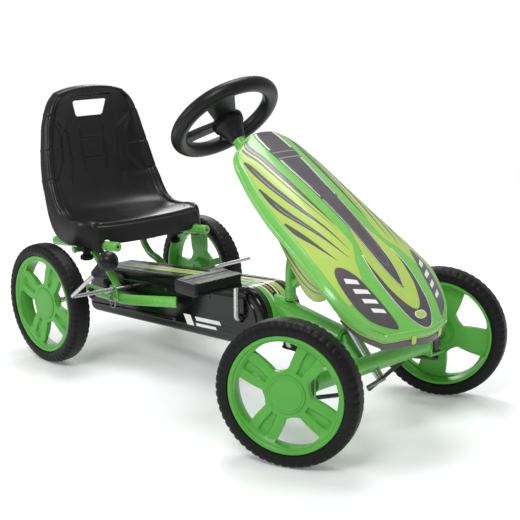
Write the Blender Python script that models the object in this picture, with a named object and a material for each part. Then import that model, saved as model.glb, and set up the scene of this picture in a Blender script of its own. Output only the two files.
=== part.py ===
"""Pedal go kart: a four-wheeled, chain-driven kart as an assembly of separate solids.

Frame: metres, +X towards the nose, +Y towards the driver's left, +Z up, ground at z = 0.
Sizes below are given from the rear axle (x = 0, above the middle of the kart).  SHIFT_X moves
everything at the end, so that the origin lies on the ground under the middle of the whole kart.
The kart stands at rest with its front wheels turned to the left stop and the right crank up.
"""

import math

import bmesh
import bpy
from mathutils import Matrix, Vector

# ---------------------------------------------------------------- driving sizes (metres, degrees)
SHIFT_X = -0.362          # world x of the rear axle
GAP = 0.0003              # clearance between pieces that touch in the real kart

WHEEL_R = 0.127           # tyre radius, and height of every wheel centre
TYRE_W = 0.0444
RIM_R = 0.1024            # edge of the rim that shows
RIM_W = 0.0390
REAR_TRACK = 0.2106       # half
CAP_R = 0.0335
AXLE_R = 0.0060

FRONT_X = 0.7197          # kingpin line
KINGPIN_Y = 0.181
KINGPIN_OFFSET = 0.049    # wheel centre, outboard of its kingpin
STEER_REST = 24.6         # front wheels at rest, turned left
WHEEL_TURN = 49.2         # steering wheel at rest, turned left
BEAM_Z = 0.120
BEAM_R = 0.016
ARM_BACK = 0.055          # knuckle arm, behind the kingpin
ARM_IN = 0.010
ARM_Z = 0.088

STEER_CENTRE = Vector((0.331, 0.0, 0.5277))   # middle of the steering wheel's ring
COLUMN_DOWN = Vector((0.692, 0.0, -0.722)).normalized()
RING_R = 0.0997
RING_TUBE_R = 0.0165
COLUMN_R = 0.0080
PITMAN_AT = 0.592         # along the column from the steering wheel
PITMAN_LENGTH = 0.030

CRANK_X, CRANK_Z = 0.4375, 0.155
CRANK_ARM = 0.085
CRANK_R = 0.0055
CRANK_SIDE = 0.0695       # arms, out from the middle
PEDAL_IN, PEDAL_OUT = 0.0790, 0.1960
CHAIN_Y = -0.036
AXLE_TEETH_R = 0.0265     # pitch radii of 13 and 20 teeth, 12.7 mm chain
CRANK_TEETH_R = 0.0406

CASE_HALF = 0.057
CASE_WALL = 0.0025

SIDE_Y = 0.089            # side tubes
SIDE_R = 0.011
RAIL_Y = 0.120
RAIL_R = 0.0100
MAIN_R = 0.020

BRAKE_X, BRAKE_Z = 0.083, 0.1495
CLAMP_X = 0.014           # seat clamps and their knobs
BRAKE_R = 0.0042

# ---------------------------------------------------------------- colours (linear RGB)
GREEN = (0.10, 0.42, 0.035, 1.0)
LIME = (0.33, 0.52, 0.06, 1.0)
BLACK = (0.012, 0.012, 0.013, 1.0)
GREY = (0.10, 0.095, 0.10, 1.0)
STEEL = (0.62, 0.62, 0.63, 1.0)
RUBBER = (0.015, 0.015, 0.016, 1.0)

for old in list(bpy.data.objects):
    bpy.data.objects.remove(old, do_unlink=True)


# ---------------------------------------------------------------- solids as bmesh
def skin(rings, wrap=False):
    """Joins rings of equally many points with quads; ends are capped, or joined if wrap is set."""
    bm = bmesh.new()
    rows = [[bm.verts.new(point) for point in ring] for ring in rings]
    count = len(rows[0])
    pairs = list(zip(rows[:-1], rows[1:])) + ([(rows[-1], rows[0])] if wrap else [])
    for low, high in pairs:
        for i in range(count):
            j = (i + 1) % count
            bm.faces.new((low[i], low[j], high[j], high[i]))
    if not wrap:
        bm.faces.new(list(reversed(rows[0])))
        bm.faces.new(rows[-1])
    bmesh.ops.recalc_face_normals(bm, faces=bm.faces)
    return bm


def across(direction):
    """Two unit vectors square to a direction and to each other."""
    direction = direction.normalized()
    helper = Vector((0, 0, 1)) if abs(direction.z) < 0.9 else Vector((1, 0, 0))
    side = helper.cross(direction).normalized()
    return side, direction.cross(side).normalized()


def circle(centre, side, up, radius, count):
    step = 2 * math.pi / count
    return [centre + side * (radius * math.cos(step * i)) + up * (radius * math.sin(step * i))
            for i in range(count)]


def rounded(path, radius, steps=5):
    """The path with each corner replaced by an arc-like curve that starts radius before it."""
    path = [Vector(point) for point in path]
    out = [path[0]]
    for before, corner, after in zip(path[:-2], path[1:-1], path[2:]):
        start = corner + (before - corner).normalized() * min(radius, 0.48 * (before - corner).length)
        end = corner + (after - corner).normalized() * min(radius, 0.48 * (after - corner).length)
        for i in range(steps + 1):
            t = i / steps
            out.append(start * (1 - t) ** 2 + corner * (2 * t * (1 - t)) + end * t ** 2)
    return out + [path[-1]]


def tube(path, radius, count=14, radii=None):
    """A solid round bar along a path.  radii may give one radius for each point."""
    path = [Vector(point) for point in path]
    radii = radii or [radius] * len(path)
    tangents = []
    for i in range(len(path)):
        ahead = path[min(i + 1, len(path) - 1)] - path[max(i - 1, 0)]
        tangents.append(ahead.normalized())
    side, _ = across(tangents[0])
    rings = []
    for point, tangent, size in zip(path, tangents, radii):
        side = (side - tangent * side.dot(tangent)).normalized()
        rings.append(circle(point, side, tangent.cross(side), size, count))
    return skin(rings)


def turned(profile, centre, axis, count=32, hollow=False):
    """Turns (distance along axis, radius) points about an axis; hollow profiles are closed loops."""
    centre, axis = Vector(centre), Vector(axis).normalized()
    side, up = across(axis)
    rings = [circle(centre + axis * along, side, up, radius, count) for along, radius in profile]
    return skin(rings, wrap=hollow)


def pipe(start, end, outer, inner, count=24):
    """A straight hollow tube."""
    start, end = Vector(start), Vector(end)
    length = (end - start).length
    profile = [(0, inner), (0, outer), (length, outer), (length, inner)]
    return turned(profile, start, end - start, count, hollow=True)


def extruded(outline, low, high, place):
    """A flat outline of (a, b) points made thick from low to high; place turns (a, b, t) into 3-D."""
    return skin([[Vector(place(a, b, t)) for a, b in outline] for t in (low, high)])


def block(low, high):
    (x0, y0, z0), (x1, y1, z1) = low, high
    return extruded([(x0, y0), (x1, y0), (x1, y1), (x0, y1)], z0, z1, lambda a, b, t: (a, b, t))


def side_place(a, b, t):
    """Outlines drawn in x and z, made thick along y."""
    return a, t, b


def walled(bm, thickness):
    """Turns an open sheet into a closed wall, thickness deep behind the sheet's face."""
    bm.normal_update()
    front = list(bm.faces)
    behind = {vert: bm.verts.new(vert.co - vert.normal * thickness) for vert in list(bm.verts)}
    edges = [edge for edge in bm.edges if edge.is_boundary]
    for face in front:
        bm.faces.new([behind[vert] for vert in reversed(face.verts)])
    for edge in edges:
        first, second = edge.verts
        bm.faces.new((first, second, behind[second], behind[first]))
    bmesh.ops.recalc_face_normals(bm, faces=bm.faces)
    return bm


def shell(grid, thickness):
    """A wall from rows of points."""
    bm = bmesh.new()
    rows = [[bm.verts.new(point) for point in row] for row in grid]
    for low, high in zip(rows[:-1], rows[1:]):
        for j in range(len(low) - 1):
            bm.faces.new((low[j], high[j], high[j + 1], low[j + 1]))
    return walled(bm, thickness)


def skirted(grid, hang, rings, thickness):
    """A wall from rows of points with a skirt all round it.

    hang(i, j) gives the skirt's outward and downward directions at an edge point, and each of
    rings is how far out and down the skirt's next line lies there.
    """
    bm = bmesh.new()
    rows = [[bm.verts.new(point) for point in row] for row in grid]
    for low, high in zip(rows[:-1], rows[1:]):
        for j in range(len(low) - 1):
            bm.faces.new((low[j], high[j], high[j + 1], low[j + 1]))
    last, end = len(rows) - 1, len(rows[0]) - 1
    rim = ([(0, j) for j in range(end)] + [(i, end) for i in range(last)]
           + [(last, j) for j in range(end, 0, -1)] + [(i, 0) for i in range(last, 0, -1)])
    inner = [rows[i][j] for i, j in rim]
    for ring in rings:
        outer = []
        for i, j in rim:
            out, down, depth = hang(i, j)
            out_by, down_by = ring
            outer.append(bm.verts.new(grid[i][j] + out * out_by + down * (down_by * depth)))
        for k in range(len(rim)):
            m = (k + 1) % len(rim)
            bm.faces.new((inner[k], inner[m], outer[m], outer[k]))
        inner = outer
    return walled(bm, thickness)


def mirrored(bm):
    """The same solid on the other side of the kart."""
    bmesh.ops.scale(bm, vec=(1, -1, 1), verts=bm.verts)
    bmesh.ops.reverse_faces(bm, faces=bm.faces)
    return bm


def turned_about(bm, point, axis, degrees):
    matrix = Matrix.Rotation(math.radians(degrees), 3, Vector(axis))
    bmesh.ops.rotate(bm, cent=Vector(point), matrix=matrix, verts=bm.verts)
    return bm


# ---------------------------------------------------------------- objects
def material(name, colour, metallic, roughness):
    made = bpy.data.materials.new(name)
    made.use_nodes = True
    shader = made.node_tree.nodes["Principled BSDF"]
    shader.inputs["Base Color"].default_value = colour
    shader.inputs["Metallic"].default_value = metallic
    shader.inputs["Roughness"].default_value = roughness
    made.diffuse_color = colour
    return made


def add(name, bm, colour, metallic=0.0, roughness=0.4, pivot=(0, 0, 0)):
    """Makes the node: pivot becomes its origin, which for a moving piece lies on its joint."""
    pivot = Vector(pivot)
    bmesh.ops.translate(bm, vec=-pivot, verts=bm.verts)
    mesh = bpy.data.meshes.new(name)
    bm.to_mesh(mesh)
    bm.free()
    obj = bpy.data.objects.new(name, mesh)
    obj.location = pivot + Vector((SHIFT_X, 0, 0))
    mesh.materials.append(material(name, colour, metallic, roughness))
    bpy.context.collection.objects.link(obj)
    return obj


def operate(obj, bm, operation="DIFFERENCE"):
    """Cuts a helper solid from a node, or joins it to the node."""
    mesh = bpy.data.meshes.new(obj.name + "_helper")
    bm.to_mesh(mesh)
    bm.free()
    helper = bpy.data.objects.new(obj.name + "_helper", mesh)
    helper.location = (SHIFT_X, 0, 0)
    helper.hide_render = True
    helper.display_type = "WIRE"
    bpy.context.collection.objects.link(helper)
    change = obj.modifiers.new(operation.title(), "BOOLEAN")
    change.operation = operation
    change.solver = "EXACT"
    change.object = helper


def both_sides(name, maker, colour, **settings):
    """A node on the driver's right from maker(), and its mirror image on the left."""
    right = add(name + "_right", maker(), colour, **settings)
    pivot = Vector(settings.pop("pivot", (0, 0, 0)))
    left = add(name + "_left", mirrored(maker()), colour,
               pivot=(pivot.x, -pivot.y, pivot.z), **settings)
    return right, left


# ---------------------------------------------------------------- frame
def column(distance):
    """The point on the steering column's axis that far below the steering wheel."""
    return STEER_CENTRE + COLUMN_DOWN * distance


MAIN_PATH = [(0.240, 0, 0.1500), (0.395, 0, 0.1860), (0.4375, 0, 0.1862), (0.6450, 0, 0.1538)]
main_path = rounded(MAIN_PATH, 0.030)
main_path += [Vector((0.6530, 0, 0.1526)), Vector((0.6575, 0, 0.1519))]
main_radii = [MAIN_R] * (len(main_path) - 2) + [0.0165, 0.0090]
add("main_tube", tube(main_path, MAIN_R, 18, main_radii), GREEN, roughness=0.3)

add("crank_bearing", pipe((CRANK_X, -0.018, CRANK_Z), (CRANK_X, 0.018, CRANK_Z), 0.0095, CRANK_R + GAP),
    STEEL, metallic=1.0)

front_beam = add("front_beam", tube([(0.7210, -0.1530, BEAM_Z), (0.7210, 0.1530, BEAM_Z)], BEAM_R, 20),
                 GREEN, roughness=0.3)
operate(front_beam, tube([column(0.520), column(0.600)], COLUMN_R + 0.0005, 16))

# The rounded foot that joins the main tube to the front beam, in front of the column.
POST_OUTLINE = [(0.6600, 0.1440), (0.6600, 0.1600), (0.6660, 0.1640), (0.6745, 0.1480),
                (0.6980, 0.1300), (0.7030, 0.1200), (0.7030, 0.1120), (0.6920, 0.1120), (0.6740, 0.1280)]
add("beam_post", extruded(POST_OUTLINE, -0.012, 0.012, side_place), GREEN, roughness=0.3)


def yoke():
    """The bent steel bracket at the beam's end that holds a kingpin."""
    inner, outer = KINGPIN_Y - 0.0270, KINGPIN_Y + 0.0120
    outline = [(inner, 0.0985), (outer, 0.0985), (outer, 0.1030), (inner + 0.0045, 0.1030),
               (inner + 0.0045, 0.1512), (outer, 0.1512), (outer, 0.1557), (inner, 0.1557)]
    return extruded(outline, FRONT_X - 0.014, FRONT_X + 0.014, lambda a, b, t: (t, -a, b))


for yoke_node, sign in zip(both_sides("kingpin_yoke", yoke, GREEN, roughness=0.3), (-1, 1)):
    operate(yoke_node, tube([(FRONT_X, sign * KINGPIN_Y, 0.090), (FRONT_X, sign * KINGPIN_Y, 0.165)],
                            0.0054, 14))

# Outer tube of the steering column, and the stay that carries it above the main tube.
add("head_tube", pipe(column(0.0560), column(0.3260), 0.0125, COLUMN_R + GAP, 20), GREEN, roughness=0.3)
stay_path = rounded([(0.5150, 0, 0.1965), (0.5150, 0, 0.2700), (0.5280, 0, 0.2962)], 0.030)
add("column_stay", tube(stay_path, 0.0105, 16), GREEN, roughness=0.3)
LUG = [(0.5260, 0.2200), (0.5260, 0.2385), (0.5500, 0.2540), (0.5720, 0.2560), (0.5720, 0.2480),
       (0.5480, 0.2420)]
add("stay_lug", extruded(LUG, -0.010, 0.010, side_place), GREEN, roughness=0.3)


def side_tube():
    path = rounded([(-0.0520, -SIDE_Y, 0.1280), (0.1050, -0.0905, 0.1310), (0.2660, -0.0705, 0.1520)], 0.030)
    return tube(path, SIDE_R, 16)


for obj, sign in zip(both_sides("side_tube", side_tube, GREEN, roughness=0.3), (-1, 1)):
    operate(obj, tube([(0, sign * 0.070, WHEEL_R), (0, sign * 0.110, WHEEL_R)], 0.0085, 18))


def axle_bush():
    """A flanged plastic bush in the side tube, with its flange outside."""
    profile = [(0.0, AXLE_R + GAP), (0.0, 0.0130), (0.0030, 0.0130), (0.0030, 0.0082), (0.0240, 0.0082),
               (0.0240, AXLE_R + GAP)]
    return turned(profile, (0, -0.1042, WHEEL_R), (0, 1, 0), 20, hollow=True)


both_sides("axle_bush", axle_bush, BLACK)


def seat_post():
    path = rounded([(-0.0500, -0.1120, 0.2180), (-0.0420, -0.0680, 0.2180), (-0.0120, -0.0680, 0.1860),
                    (0.0220, -0.0690, 0.1775), (0.0600, -0.0735, 0.1445)], 0.020, 4)
    return tube(path, 0.0080, 12)


both_sides("seat_post", seat_post, GREEN, roughness=0.3)


def rail_z(x):
    """Height of the seat rails' middle, which rise towards the front."""
    return 0.2410 + 0.100 * x


RAIL_BACK, RAIL_FRONT = -0.1040, 0.1290


def seat_rail():
    return tube([(RAIL_BACK, -RAIL_Y, rail_z(RAIL_BACK)), (RAIL_FRONT, -RAIL_Y, rail_z(RAIL_FRONT))],
                RAIL_R, 18)


both_sides("seat_rail", seat_rail, LIME, roughness=0.3)


def brake_bracket():
    outline = [(BRAKE_X + a, BRAKE_Z + b) for a, b in (
        (-0.0150, -0.0265), (0.0150, -0.0245), (0.0150, -0.0035), (0.0080, 0.0105), (-0.0080, 0.0105),
        (-0.0150, -0.0035))]
    return extruded(outline, -0.1055, -0.1019, side_place)


for obj, sign in zip(both_sides("brake_bracket", brake_bracket, GREEN, roughness=0.3), (-1, 1)):
    operate(obj, tube([(BRAKE_X, sign * 0.095, BRAKE_Z), (BRAKE_X, sign * 0.115, BRAKE_Z)],
                      BRAKE_R + GAP, 16))

# ---------------------------------------------------------------- chain case
CASE_OUTLINE = [(-0.0620, 0.0622), (-0.0300, 0.0645), (0.1000, 0.0733), (0.2700, 0.0848)]
CASE_OUTLINE += [(CRANK_X + 0.0597 * math.cos(math.radians(a)), CRANK_Z + 0.0597 * math.sin(math.radians(a)))
                 for a in range(-94, 97, 10)]
CASE_OUTLINE += [(0.2700, 0.1999), (0.1000, 0.1833), (-0.0450, 0.1690), (-0.0660, 0.1600), (-0.0780, 0.1400),
                 (-0.0840, 0.1100), (-0.0830, 0.0800), (-0.0765, 0.0670)]


def inset(outline, depth):
    """The outline drawn in by a depth all round, for one listed anticlockwise."""
    points = [Vector(point) for point in outline]
    moved = []
    for before, here, after in zip(points[-1:] + points[:-1], points, points[1:] + points[:1]):
        first, second = (here - before).normalized(), (after - here).normalized()
        inward = (Vector((-first.y, first.x)) + Vector((-second.y, second.x))).normalized()
        moved.append(here + inward * (depth / max(0.5, inward.dot(Vector((-first.y, first.x))))))
    return [(p.x, p.y) for p in moved]


def case_half():
    """One moulded half of the chain case: a wall round a hollow that is open at the kart's middle."""
    edge = [(0.0000 + GAP / 2, 0.0), (0.0440, 0.0), (0.0500, 0.0014), (0.0545, 0.0048), (CASE_HALF, 0.0120)]
    outer = [[Vector((x, -y, z)) for x, z in inset(CASE_OUTLINE, depth)] for y, depth in edge]
    wall = CASE_WALL
    inner = [[Vector((x, -min(y, CASE_HALF - wall), z)) for x, z in inset(CASE_OUTLINE, depth + wall)]
             for y, depth in edge]
    bm = bmesh.new()
    loops = [[bm.verts.new(p) for p in ring] for ring in list(reversed(inner)) + outer]
    count = len(loops[0])
    for low, high in zip(loops[:-1], loops[1:]):
        for i in range(count):
            j = (i + 1) % count
            bm.faces.new((low[i], low[j], high[j], high[i]))
    bm.faces.new(loops[0])
    bm.faces.new(loops[-1])
    bmesh.ops.recalc_face_normals(bm, faces=bm.faces)
    return bm


for obj, sign in zip(both_sides("chain_case", case_half, BLACK, roughness=0.25), (-1, 1)):
    for x, z, radius in ((0, WHEEL_R, 0.0090), (CRANK_X, CRANK_Z, 0.0090), (BRAKE_X, BRAKE_Z, 0.0060)):
        operate(obj, tube([(x, sign * 0.040, z), (x, sign * 0.070, z)], radius, 18))
    operate(obj, tube([(0.4600, 0, 0.1827), (0.5300, 0, 0.1717)], MAIN_R + 0.0010, 24))


def chain_loop():
    """The chain as one closed strip around both sprockets."""
    gap = math.hypot(CRANK_X, CRANK_Z - WHEEL_R)
    slope = math.atan2(CRANK_Z - WHEEL_R, CRANK_X)
    lean = math.asin((CRANK_TEETH_R - AXLE_TEETH_R) / gap)
    start, end = math.pi / 2 + lean + slope, 1.5 * math.pi - lean + slope
    arcs = []
    for i in range(11):
        angle = start + (end - start) * i / 10
        arcs.append((0.0, WHEEL_R, AXLE_TEETH_R, angle))
    start, end = -math.pi / 2 - lean + slope, math.pi / 2 + lean + slope
    for i in range(13):
        angle = start + (end - start) * i / 12
        arcs.append((CRANK_X, CRANK_Z, CRANK_TEETH_R, angle))
    rings = []
    for x, z, radius, angle in arcs:
        out = Vector((math.cos(angle), 0, math.sin(angle)))
        middle = Vector((x, CHAIN_Y, z))
        rings.append([middle + out * (radius + r) + Vector((0, y, 0))
                      for r, y in ((-0.0033, -0.0025), (0.0033, -0.0025), (0.0033, 0.0025), (-0.0033, 0.0025))])
    return skin(rings, wrap=True)


add("chain", chain_loop(), STEEL, metallic=1.0)

# ---------------------------------------------------------------- fairing
# Stations from the top to the nose: middle x, z, then edge x, y, z.
FAIRING = [
    (0.4400, 0.5090, 0.4450, 0.0560, 0.4930), (0.4560, 0.5000, 0.4530, 0.0800, 0.4770),
    (0.4760, 0.4890, 0.4680, 0.0925, 0.4610), (0.5000, 0.4755, 0.4900, 0.1010, 0.4440),
    (0.5480, 0.4475, 0.5325, 0.1120, 0.4105), (0.6070, 0.4120, 0.5875, 0.1210, 0.3720),
    (0.6650, 0.3740, 0.6440, 0.1265, 0.3385), (0.7220, 0.3320, 0.7000, 0.1320, 0.3050),
    (0.7620, 0.2990, 0.7400, 0.1340, 0.2790), (0.7960, 0.2680, 0.7700, 0.1280, 0.2530),
    (0.8260, 0.2390, 0.7930, 0.1170, 0.2310), (0.8480, 0.2150, 0.8110, 0.0980, 0.2120),
]
FAIRING_HUMP = 0.004      # the cheeks either side of the middle channel, near the nose
FAIRING_CROWN = 2.8       # how flat the bonnet's top is before it falls to its edges
FAIRING_ACROSS = (0.0, 0.22, 0.42, 0.60, 0.77, 0.90, 1.0)
FAIRING_DOWN = Vector((-0.45, 0.0, -0.90)).normalized()
FAIRING_RINGS = ((0.0030, 0.0020), (0.0045, 0.0070), (0.0030, 0.0130))
FAIRING_WALL = 0.0030
BAND_TOP = 0.0137         # the nose band starts just under the skirt


def fairing_row(xc, zc, xe, ye, ze, hump):
    """One row of points across the bonnet: cheek, middle channel, cheek."""
    half = []
    for v in FAIRING_ACROSS:
        across_by = v ** FAIRING_CROWN
        half.append(Vector((xc + (xe - xc) * v * v, ye * v,
                            zc + (ze - zc) * across_by + hump * math.sin(math.pi * v) ** 2)))
    return [Vector((p.x, -p.y, p.z)) for p in reversed(half[1:])] + half


def fairing_grid():
    grid = []
    for i, station in enumerate(FAIRING):
        hump = FAIRING_HUMP * max(0.0, min(1.0, (i - 5) / 3)) * (1.0 if i < 10 else 0.5)
        grid.append(fairing_row(*station, hump))
    return grid


def fairing_hang(grid, i, j):
    """The skirt's outward and downward directions at an edge point, and its depth there."""
    last, end = len(grid) - 1, len(grid[0]) - 1
    out = Vector((0, 0, 0))
    if j in (0, end):
        out += Vector((0, -1 if j == 0 else 1, 0))
    if i == 0:
        out += Vector((-0.75, 0, 0.35)) + Vector((0, 0.3 * grid[0][j].y / grid[0][end].y, 0))
    if i == last:
        out += Vector((0.9, 0.45 * grid[last][j].y / grid[last][end].y, 0))
    upright = max(0.0, (i - (last - 3)) / 3)
    down = (FAIRING_DOWN * (1 - upright) + Vector((-0.10, 0, -1)) * upright).normalized()
    return out.normalized(), down, 0.75 if i == 0 else 1.0


def fairing():
    grid = fairing_grid()
    return skirted(grid, lambda i, j: fairing_hang(grid, i, j), FAIRING_RINGS, -FAIRING_WALL)


add("fairing", fairing(), LIME, roughness=0.3)


def nose_band():
    """The bumper strip round the nose, under the bonnet's skirt, narrower towards its two ends."""
    grid = fairing_grid()
    last, end = len(grid) - 1, len(grid[0]) - 1
    stops = [(last - 2, 0), (last - 1, 0)] + [(last, j) for j in range(end + 1)] + [(last - 1, end), (last - 2, end)]
    rings = []
    for k, (i, j) in enumerate(stops):
        out, down, _ = fairing_hang(grid, i, j)
        deep = BAND_TOP + 0.0070 + 0.0085 * math.sin(math.pi * k / (len(stops) - 1)) ** 0.7
        rings.append([grid[i][j] + out * by + down * depth for by, depth in
                      ((-0.0005, BAND_TOP), (0.0030, BAND_TOP), (0.0022, deep), (-0.0005, deep))])
    return skin(rings)


add("nose_band", nose_band(), GREY)


def fairing_wing():
    """The pointed lower panel under the bonnet's rolled edge."""
    rows = []
    for t in (0.0, 0.2, 0.4, 0.6, 0.8, 1.0):
        x = 0.5720 + 0.1330 * t
        top = 0.3520 - 0.0830 * t
        drop = 0.0750 * math.sin(math.pi * (0.12 + 0.80 * t)) + 0.004
        rows.append([Vector((x + 0.012 * s, -0.1120 + 0.018 * s * s - 0.006 * t, top - drop * s)) for s in
                     (0.0, 0.25, 0.5, 0.75, 1.0)])
    return shell(rows, -0.0025)


both_sides("fairing_wing", fairing_wing, LIME, roughness=0.3)

# ---------------------------------------------------------------- wheels
HALF_W, HALF_RIM = TYRE_W / 2, RIM_W / 2
TURNS = 36                # steps round a wheel, the same on tyre and rim so that they nest


def place_wheel(bm, side, front):
    """Moves a wheel piece made about the origin, outer face towards -Y, to its own place."""
    if side > 0:
        mirrored(bm)
    if not front:
        bmesh.ops.translate(bm, vec=(0, side * REAR_TRACK, WHEEL_R), verts=bm.verts)
        return bm
    bmesh.ops.translate(bm, vec=(FRONT_X, side * (KINGPIN_Y + KINGPIN_OFFSET), WHEEL_R), verts=bm.verts)
    return turned_about(bm, (FRONT_X, side * KINGPIN_Y, WHEEL_R), (0, 0, 1), STEER_REST)


def tyre():
    half = [(0.0160, 0.1000), (0.0162, 0.1029), (0.0202, 0.1038), (HALF_W, 0.1110), (0.0216, 0.1195),
            (0.0175, 0.1255), (0.0080, WHEEL_R)]
    profile = half + [(-y, r) for y, r in reversed(half)]
    return turned(profile, (0, 0, 0), (0, 1, 0), TURNS, hollow=True)


def rim_body(bore):
    """The turned body of a rim: barrel, web and hub, before its four windows are cut."""
    profile = [(-HALF_RIM, 0.0975), (-HALF_RIM, RIM_R), (-0.0165, RIM_R), (-0.0163, 0.0997),
               (0.0163, 0.0997), (0.0165, RIM_R), (HALF_RIM, RIM_R), (HALF_RIM, 0.0975), (0.0000, 0.0945),
               (0.0020, 0.0400), (0.0170, 0.0220), (0.0170, bore), (-0.0088, bore), (-0.0088, 0.0360),
               (-0.0110, 0.0945)]
    return turned(profile, (0, 0, 0), (0, 1, 0), TURNS, hollow=True)


def rim_window(quarter, phase):
    """A cutter for one opening between two spokes."""
    middle = math.radians(90 * quarter + phase)
    outline = []
    for radius, spread in ((0.0460, 12), (0.0600, 21), (0.0900, 27)):
        outline.append((radius, -spread))
    outline += [(0.0930, -13), (0.0930, 13)]
    for radius, spread in ((0.0900, 27), (0.0600, 21), (0.0460, 12)):
        outline.append((radius, spread))
    points = [(r * math.cos(middle + math.radians(a)), r * math.sin(middle + math.radians(a)))
              for r, a in outline]
    return extruded(points, -0.040, 0.040, side_place)


def hub_cap():
    profile = [(-0.0128, 0.0300), (-0.0118, CAP_R), (-0.0093, CAP_R)]
    return turned(profile, (0, 0, 0), (0, 1, 0), 28)


WHEELS = (("rear", "right", -1, 20.0), ("rear", "left", 1, 55.0),
          ("front", "right", -1, 14.0), ("front", "left", 1, 34.0))


def wheel_centre(front, side):
    if not front:
        return Vector((0, side * REAR_TRACK, WHEEL_R))
    angle = math.radians(STEER_REST)
    out = Vector((-math.sin(angle), math.cos(angle), 0)) * (side * KINGPIN_OFFSET)
    return Vector((FRONT_X, side * KINGPIN_Y, WHEEL_R)) + out


for end, name, side, phase in WHEELS:
    front = end == "front"
    centre = wheel_centre(front, side)
    add(f"tyre_{end}_{name}", place_wheel(tyre(), side, front), RUBBER, roughness=0.7, pivot=centre)
    bore = AXLE_R + GAP
    rim = add(f"rim_{end}_{name}", place_wheel(rim_body(bore), side, front), GREEN, pivot=centre)
    for quarter in range(4):
        operate(rim, place_wheel(rim_window(quarter, phase), side, front))
    add(f"hub_cap_{end}_{name}", place_wheel(hub_cap(), side, front), GREEN, pivot=centre)

axle_end = REAR_TRACK + 0.0088
add("rear_axle", tube([(0, -axle_end, WHEEL_R), (0, axle_end, WHEEL_R)], AXLE_R, 18), STEEL, metallic=1.0,
    pivot=(0, 0, WHEEL_R))


def sprocket(teeth, pitch_r, bore, centre):
    """A toothed disc whose teeth stop short of the chain's rollers."""
    outline = []
    for i in range(teeth):
        for part, radius in ((0.0, pitch_r - 0.0058), (0.35, pitch_r - 0.0038), (0.65, pitch_r - 0.0038)):
            angle = 2 * math.pi * (i + part) / teeth
            outline.append((radius * math.cos(angle), radius * math.sin(angle), angle))
    low, high = CHAIN_Y - 0.0015, CHAIN_Y + 0.0015
    place = Vector(centre)
    rings = []
    for y, inner in ((low, True), (low, False), (high, False), (high, True)):
        rings.append([place + Vector((bore * math.cos(a), y, bore * math.sin(a))) if inner
                      else place + Vector((x, y, z)) for x, z, a in outline])
    return skin(rings, wrap=True)


add("axle_sprocket", sprocket(13, AXLE_TEETH_R, AXLE_R + GAP, (0, 0, WHEEL_R)), STEEL, metallic=1.0,
    pivot=(0, 0, WHEEL_R))

# ---------------------------------------------------------------- crank and pedals
crank_path = rounded([
    (CRANK_X, -(PEDAL_OUT - 0.006), CRANK_Z + CRANK_ARM), (CRANK_X, -CRANK_SIDE, CRANK_Z + CRANK_ARM),
    (CRANK_X, -CRANK_SIDE, CRANK_Z), (CRANK_X, CRANK_SIDE, CRANK_Z),
    (CRANK_X, CRANK_SIDE, CRANK_Z - CRANK_ARM), (CRANK_X, PEDAL_OUT - 0.006, CRANK_Z - CRANK_ARM)], 0.0085, 4)
add("crank_rod", tube(crank_path, CRANK_R, 14), STEEL, metallic=1.0, pivot=(CRANK_X, 0, CRANK_Z))
add("crank_sprocket", sprocket(20, CRANK_TEETH_R, CRANK_R + GAP, (CRANK_X, 0, CRANK_Z)), STEEL, metallic=1.0,
    pivot=(CRANK_X, 0, CRANK_Z))


def pedal(side):
    """A flat block with a rounded cross-section, bored for the crank's end."""
    height = CRANK_Z - side * CRANK_ARM
    outline = [(-0.0300, -0.0080), (-0.0240, -0.0130), (0.0240, -0.0130), (0.0300, -0.0080),
               (0.0300, 0.0080), (0.0240, 0.0130), (-0.0240, 0.0130), (-0.0300, 0.0080)]
    points = [(CRANK_X + a, height + b) for a, b in outline]
    return extruded(points, side * PEDAL_IN, side * PEDAL_OUT, side_place)


for side, name in ((-1, "right"), (1, "left")):
    height = CRANK_Z - side * CRANK_ARM
    obj = add(f"pedal_{name}", pedal(side), BLACK, pivot=(CRANK_X, side * PEDAL_IN, height))
    operate(obj, tube([(CRANK_X, side * (PEDAL_IN - 0.010), height), (CRANK_X, side * (PEDAL_OUT - 0.005), height)],
                      CRANK_R + GAP, 16))


# ---------------------------------------------------------------- steering
def steer(point, side):
    """A point given straight ahead, turned with its knuckle to the rest position."""
    turn = Matrix.Rotation(math.radians(STEER_REST), 3, Vector((0, 0, 1)))
    kingpin = Vector((FRONT_X, side * KINGPIN_Y, 0))
    return kingpin + turn @ (Vector(point) - kingpin)


def arm_tip(side):
    return steer((FRONT_X - ARM_BACK, side * (KINGPIN_Y - ARM_IN), ARM_Z), side)


for side, name in ((-1, "right"), (1, "left")):
    kingpin = Vector((FRONT_X, side * KINGPIN_Y, WHEEL_R))
    barrel = tube([(FRONT_X, side * KINGPIN_Y, 0.1034), (FRONT_X, side * KINGPIN_Y, 0.1508)], 0.0110, 18)
    knuckle = add(f"knuckle_{name}", barrel, BLACK, metallic=0.6, pivot=kingpin)
    end = steer((FRONT_X, side * (KINGPIN_Y + KINGPIN_OFFSET + 0.0085), WHEEL_R), side)
    operate(knuckle, tube([steer((FRONT_X, side * KINGPIN_Y, WHEEL_R), side), end], AXLE_R, 16), "UNION")
    operate(knuckle, tube([(FRONT_X, side * KINGPIN_Y, 0.0845), (FRONT_X, side * KINGPIN_Y, 0.1610)],
                          0.0050, 14), "UNION")
    tip = arm_tip(side)
    back = (tip - Vector((FRONT_X, side * KINGPIN_Y, ARM_Z))).normalized()
    wide = Vector((-back.y, back.x, 0)) * 0.0075
    root = Vector((FRONT_X, side * KINGPIN_Y, ARM_Z)) - back * 0.009
    plate = [root + wide, root - wide, tip - wide * 0.8 + back * 0.006, tip + wide * 0.8 + back * 0.006]
    operate(knuckle, skin([[p + Vector((0, 0, dz)) for p in plate] for dz in (-0.0022, 0.0022)]), "UNION")

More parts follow.
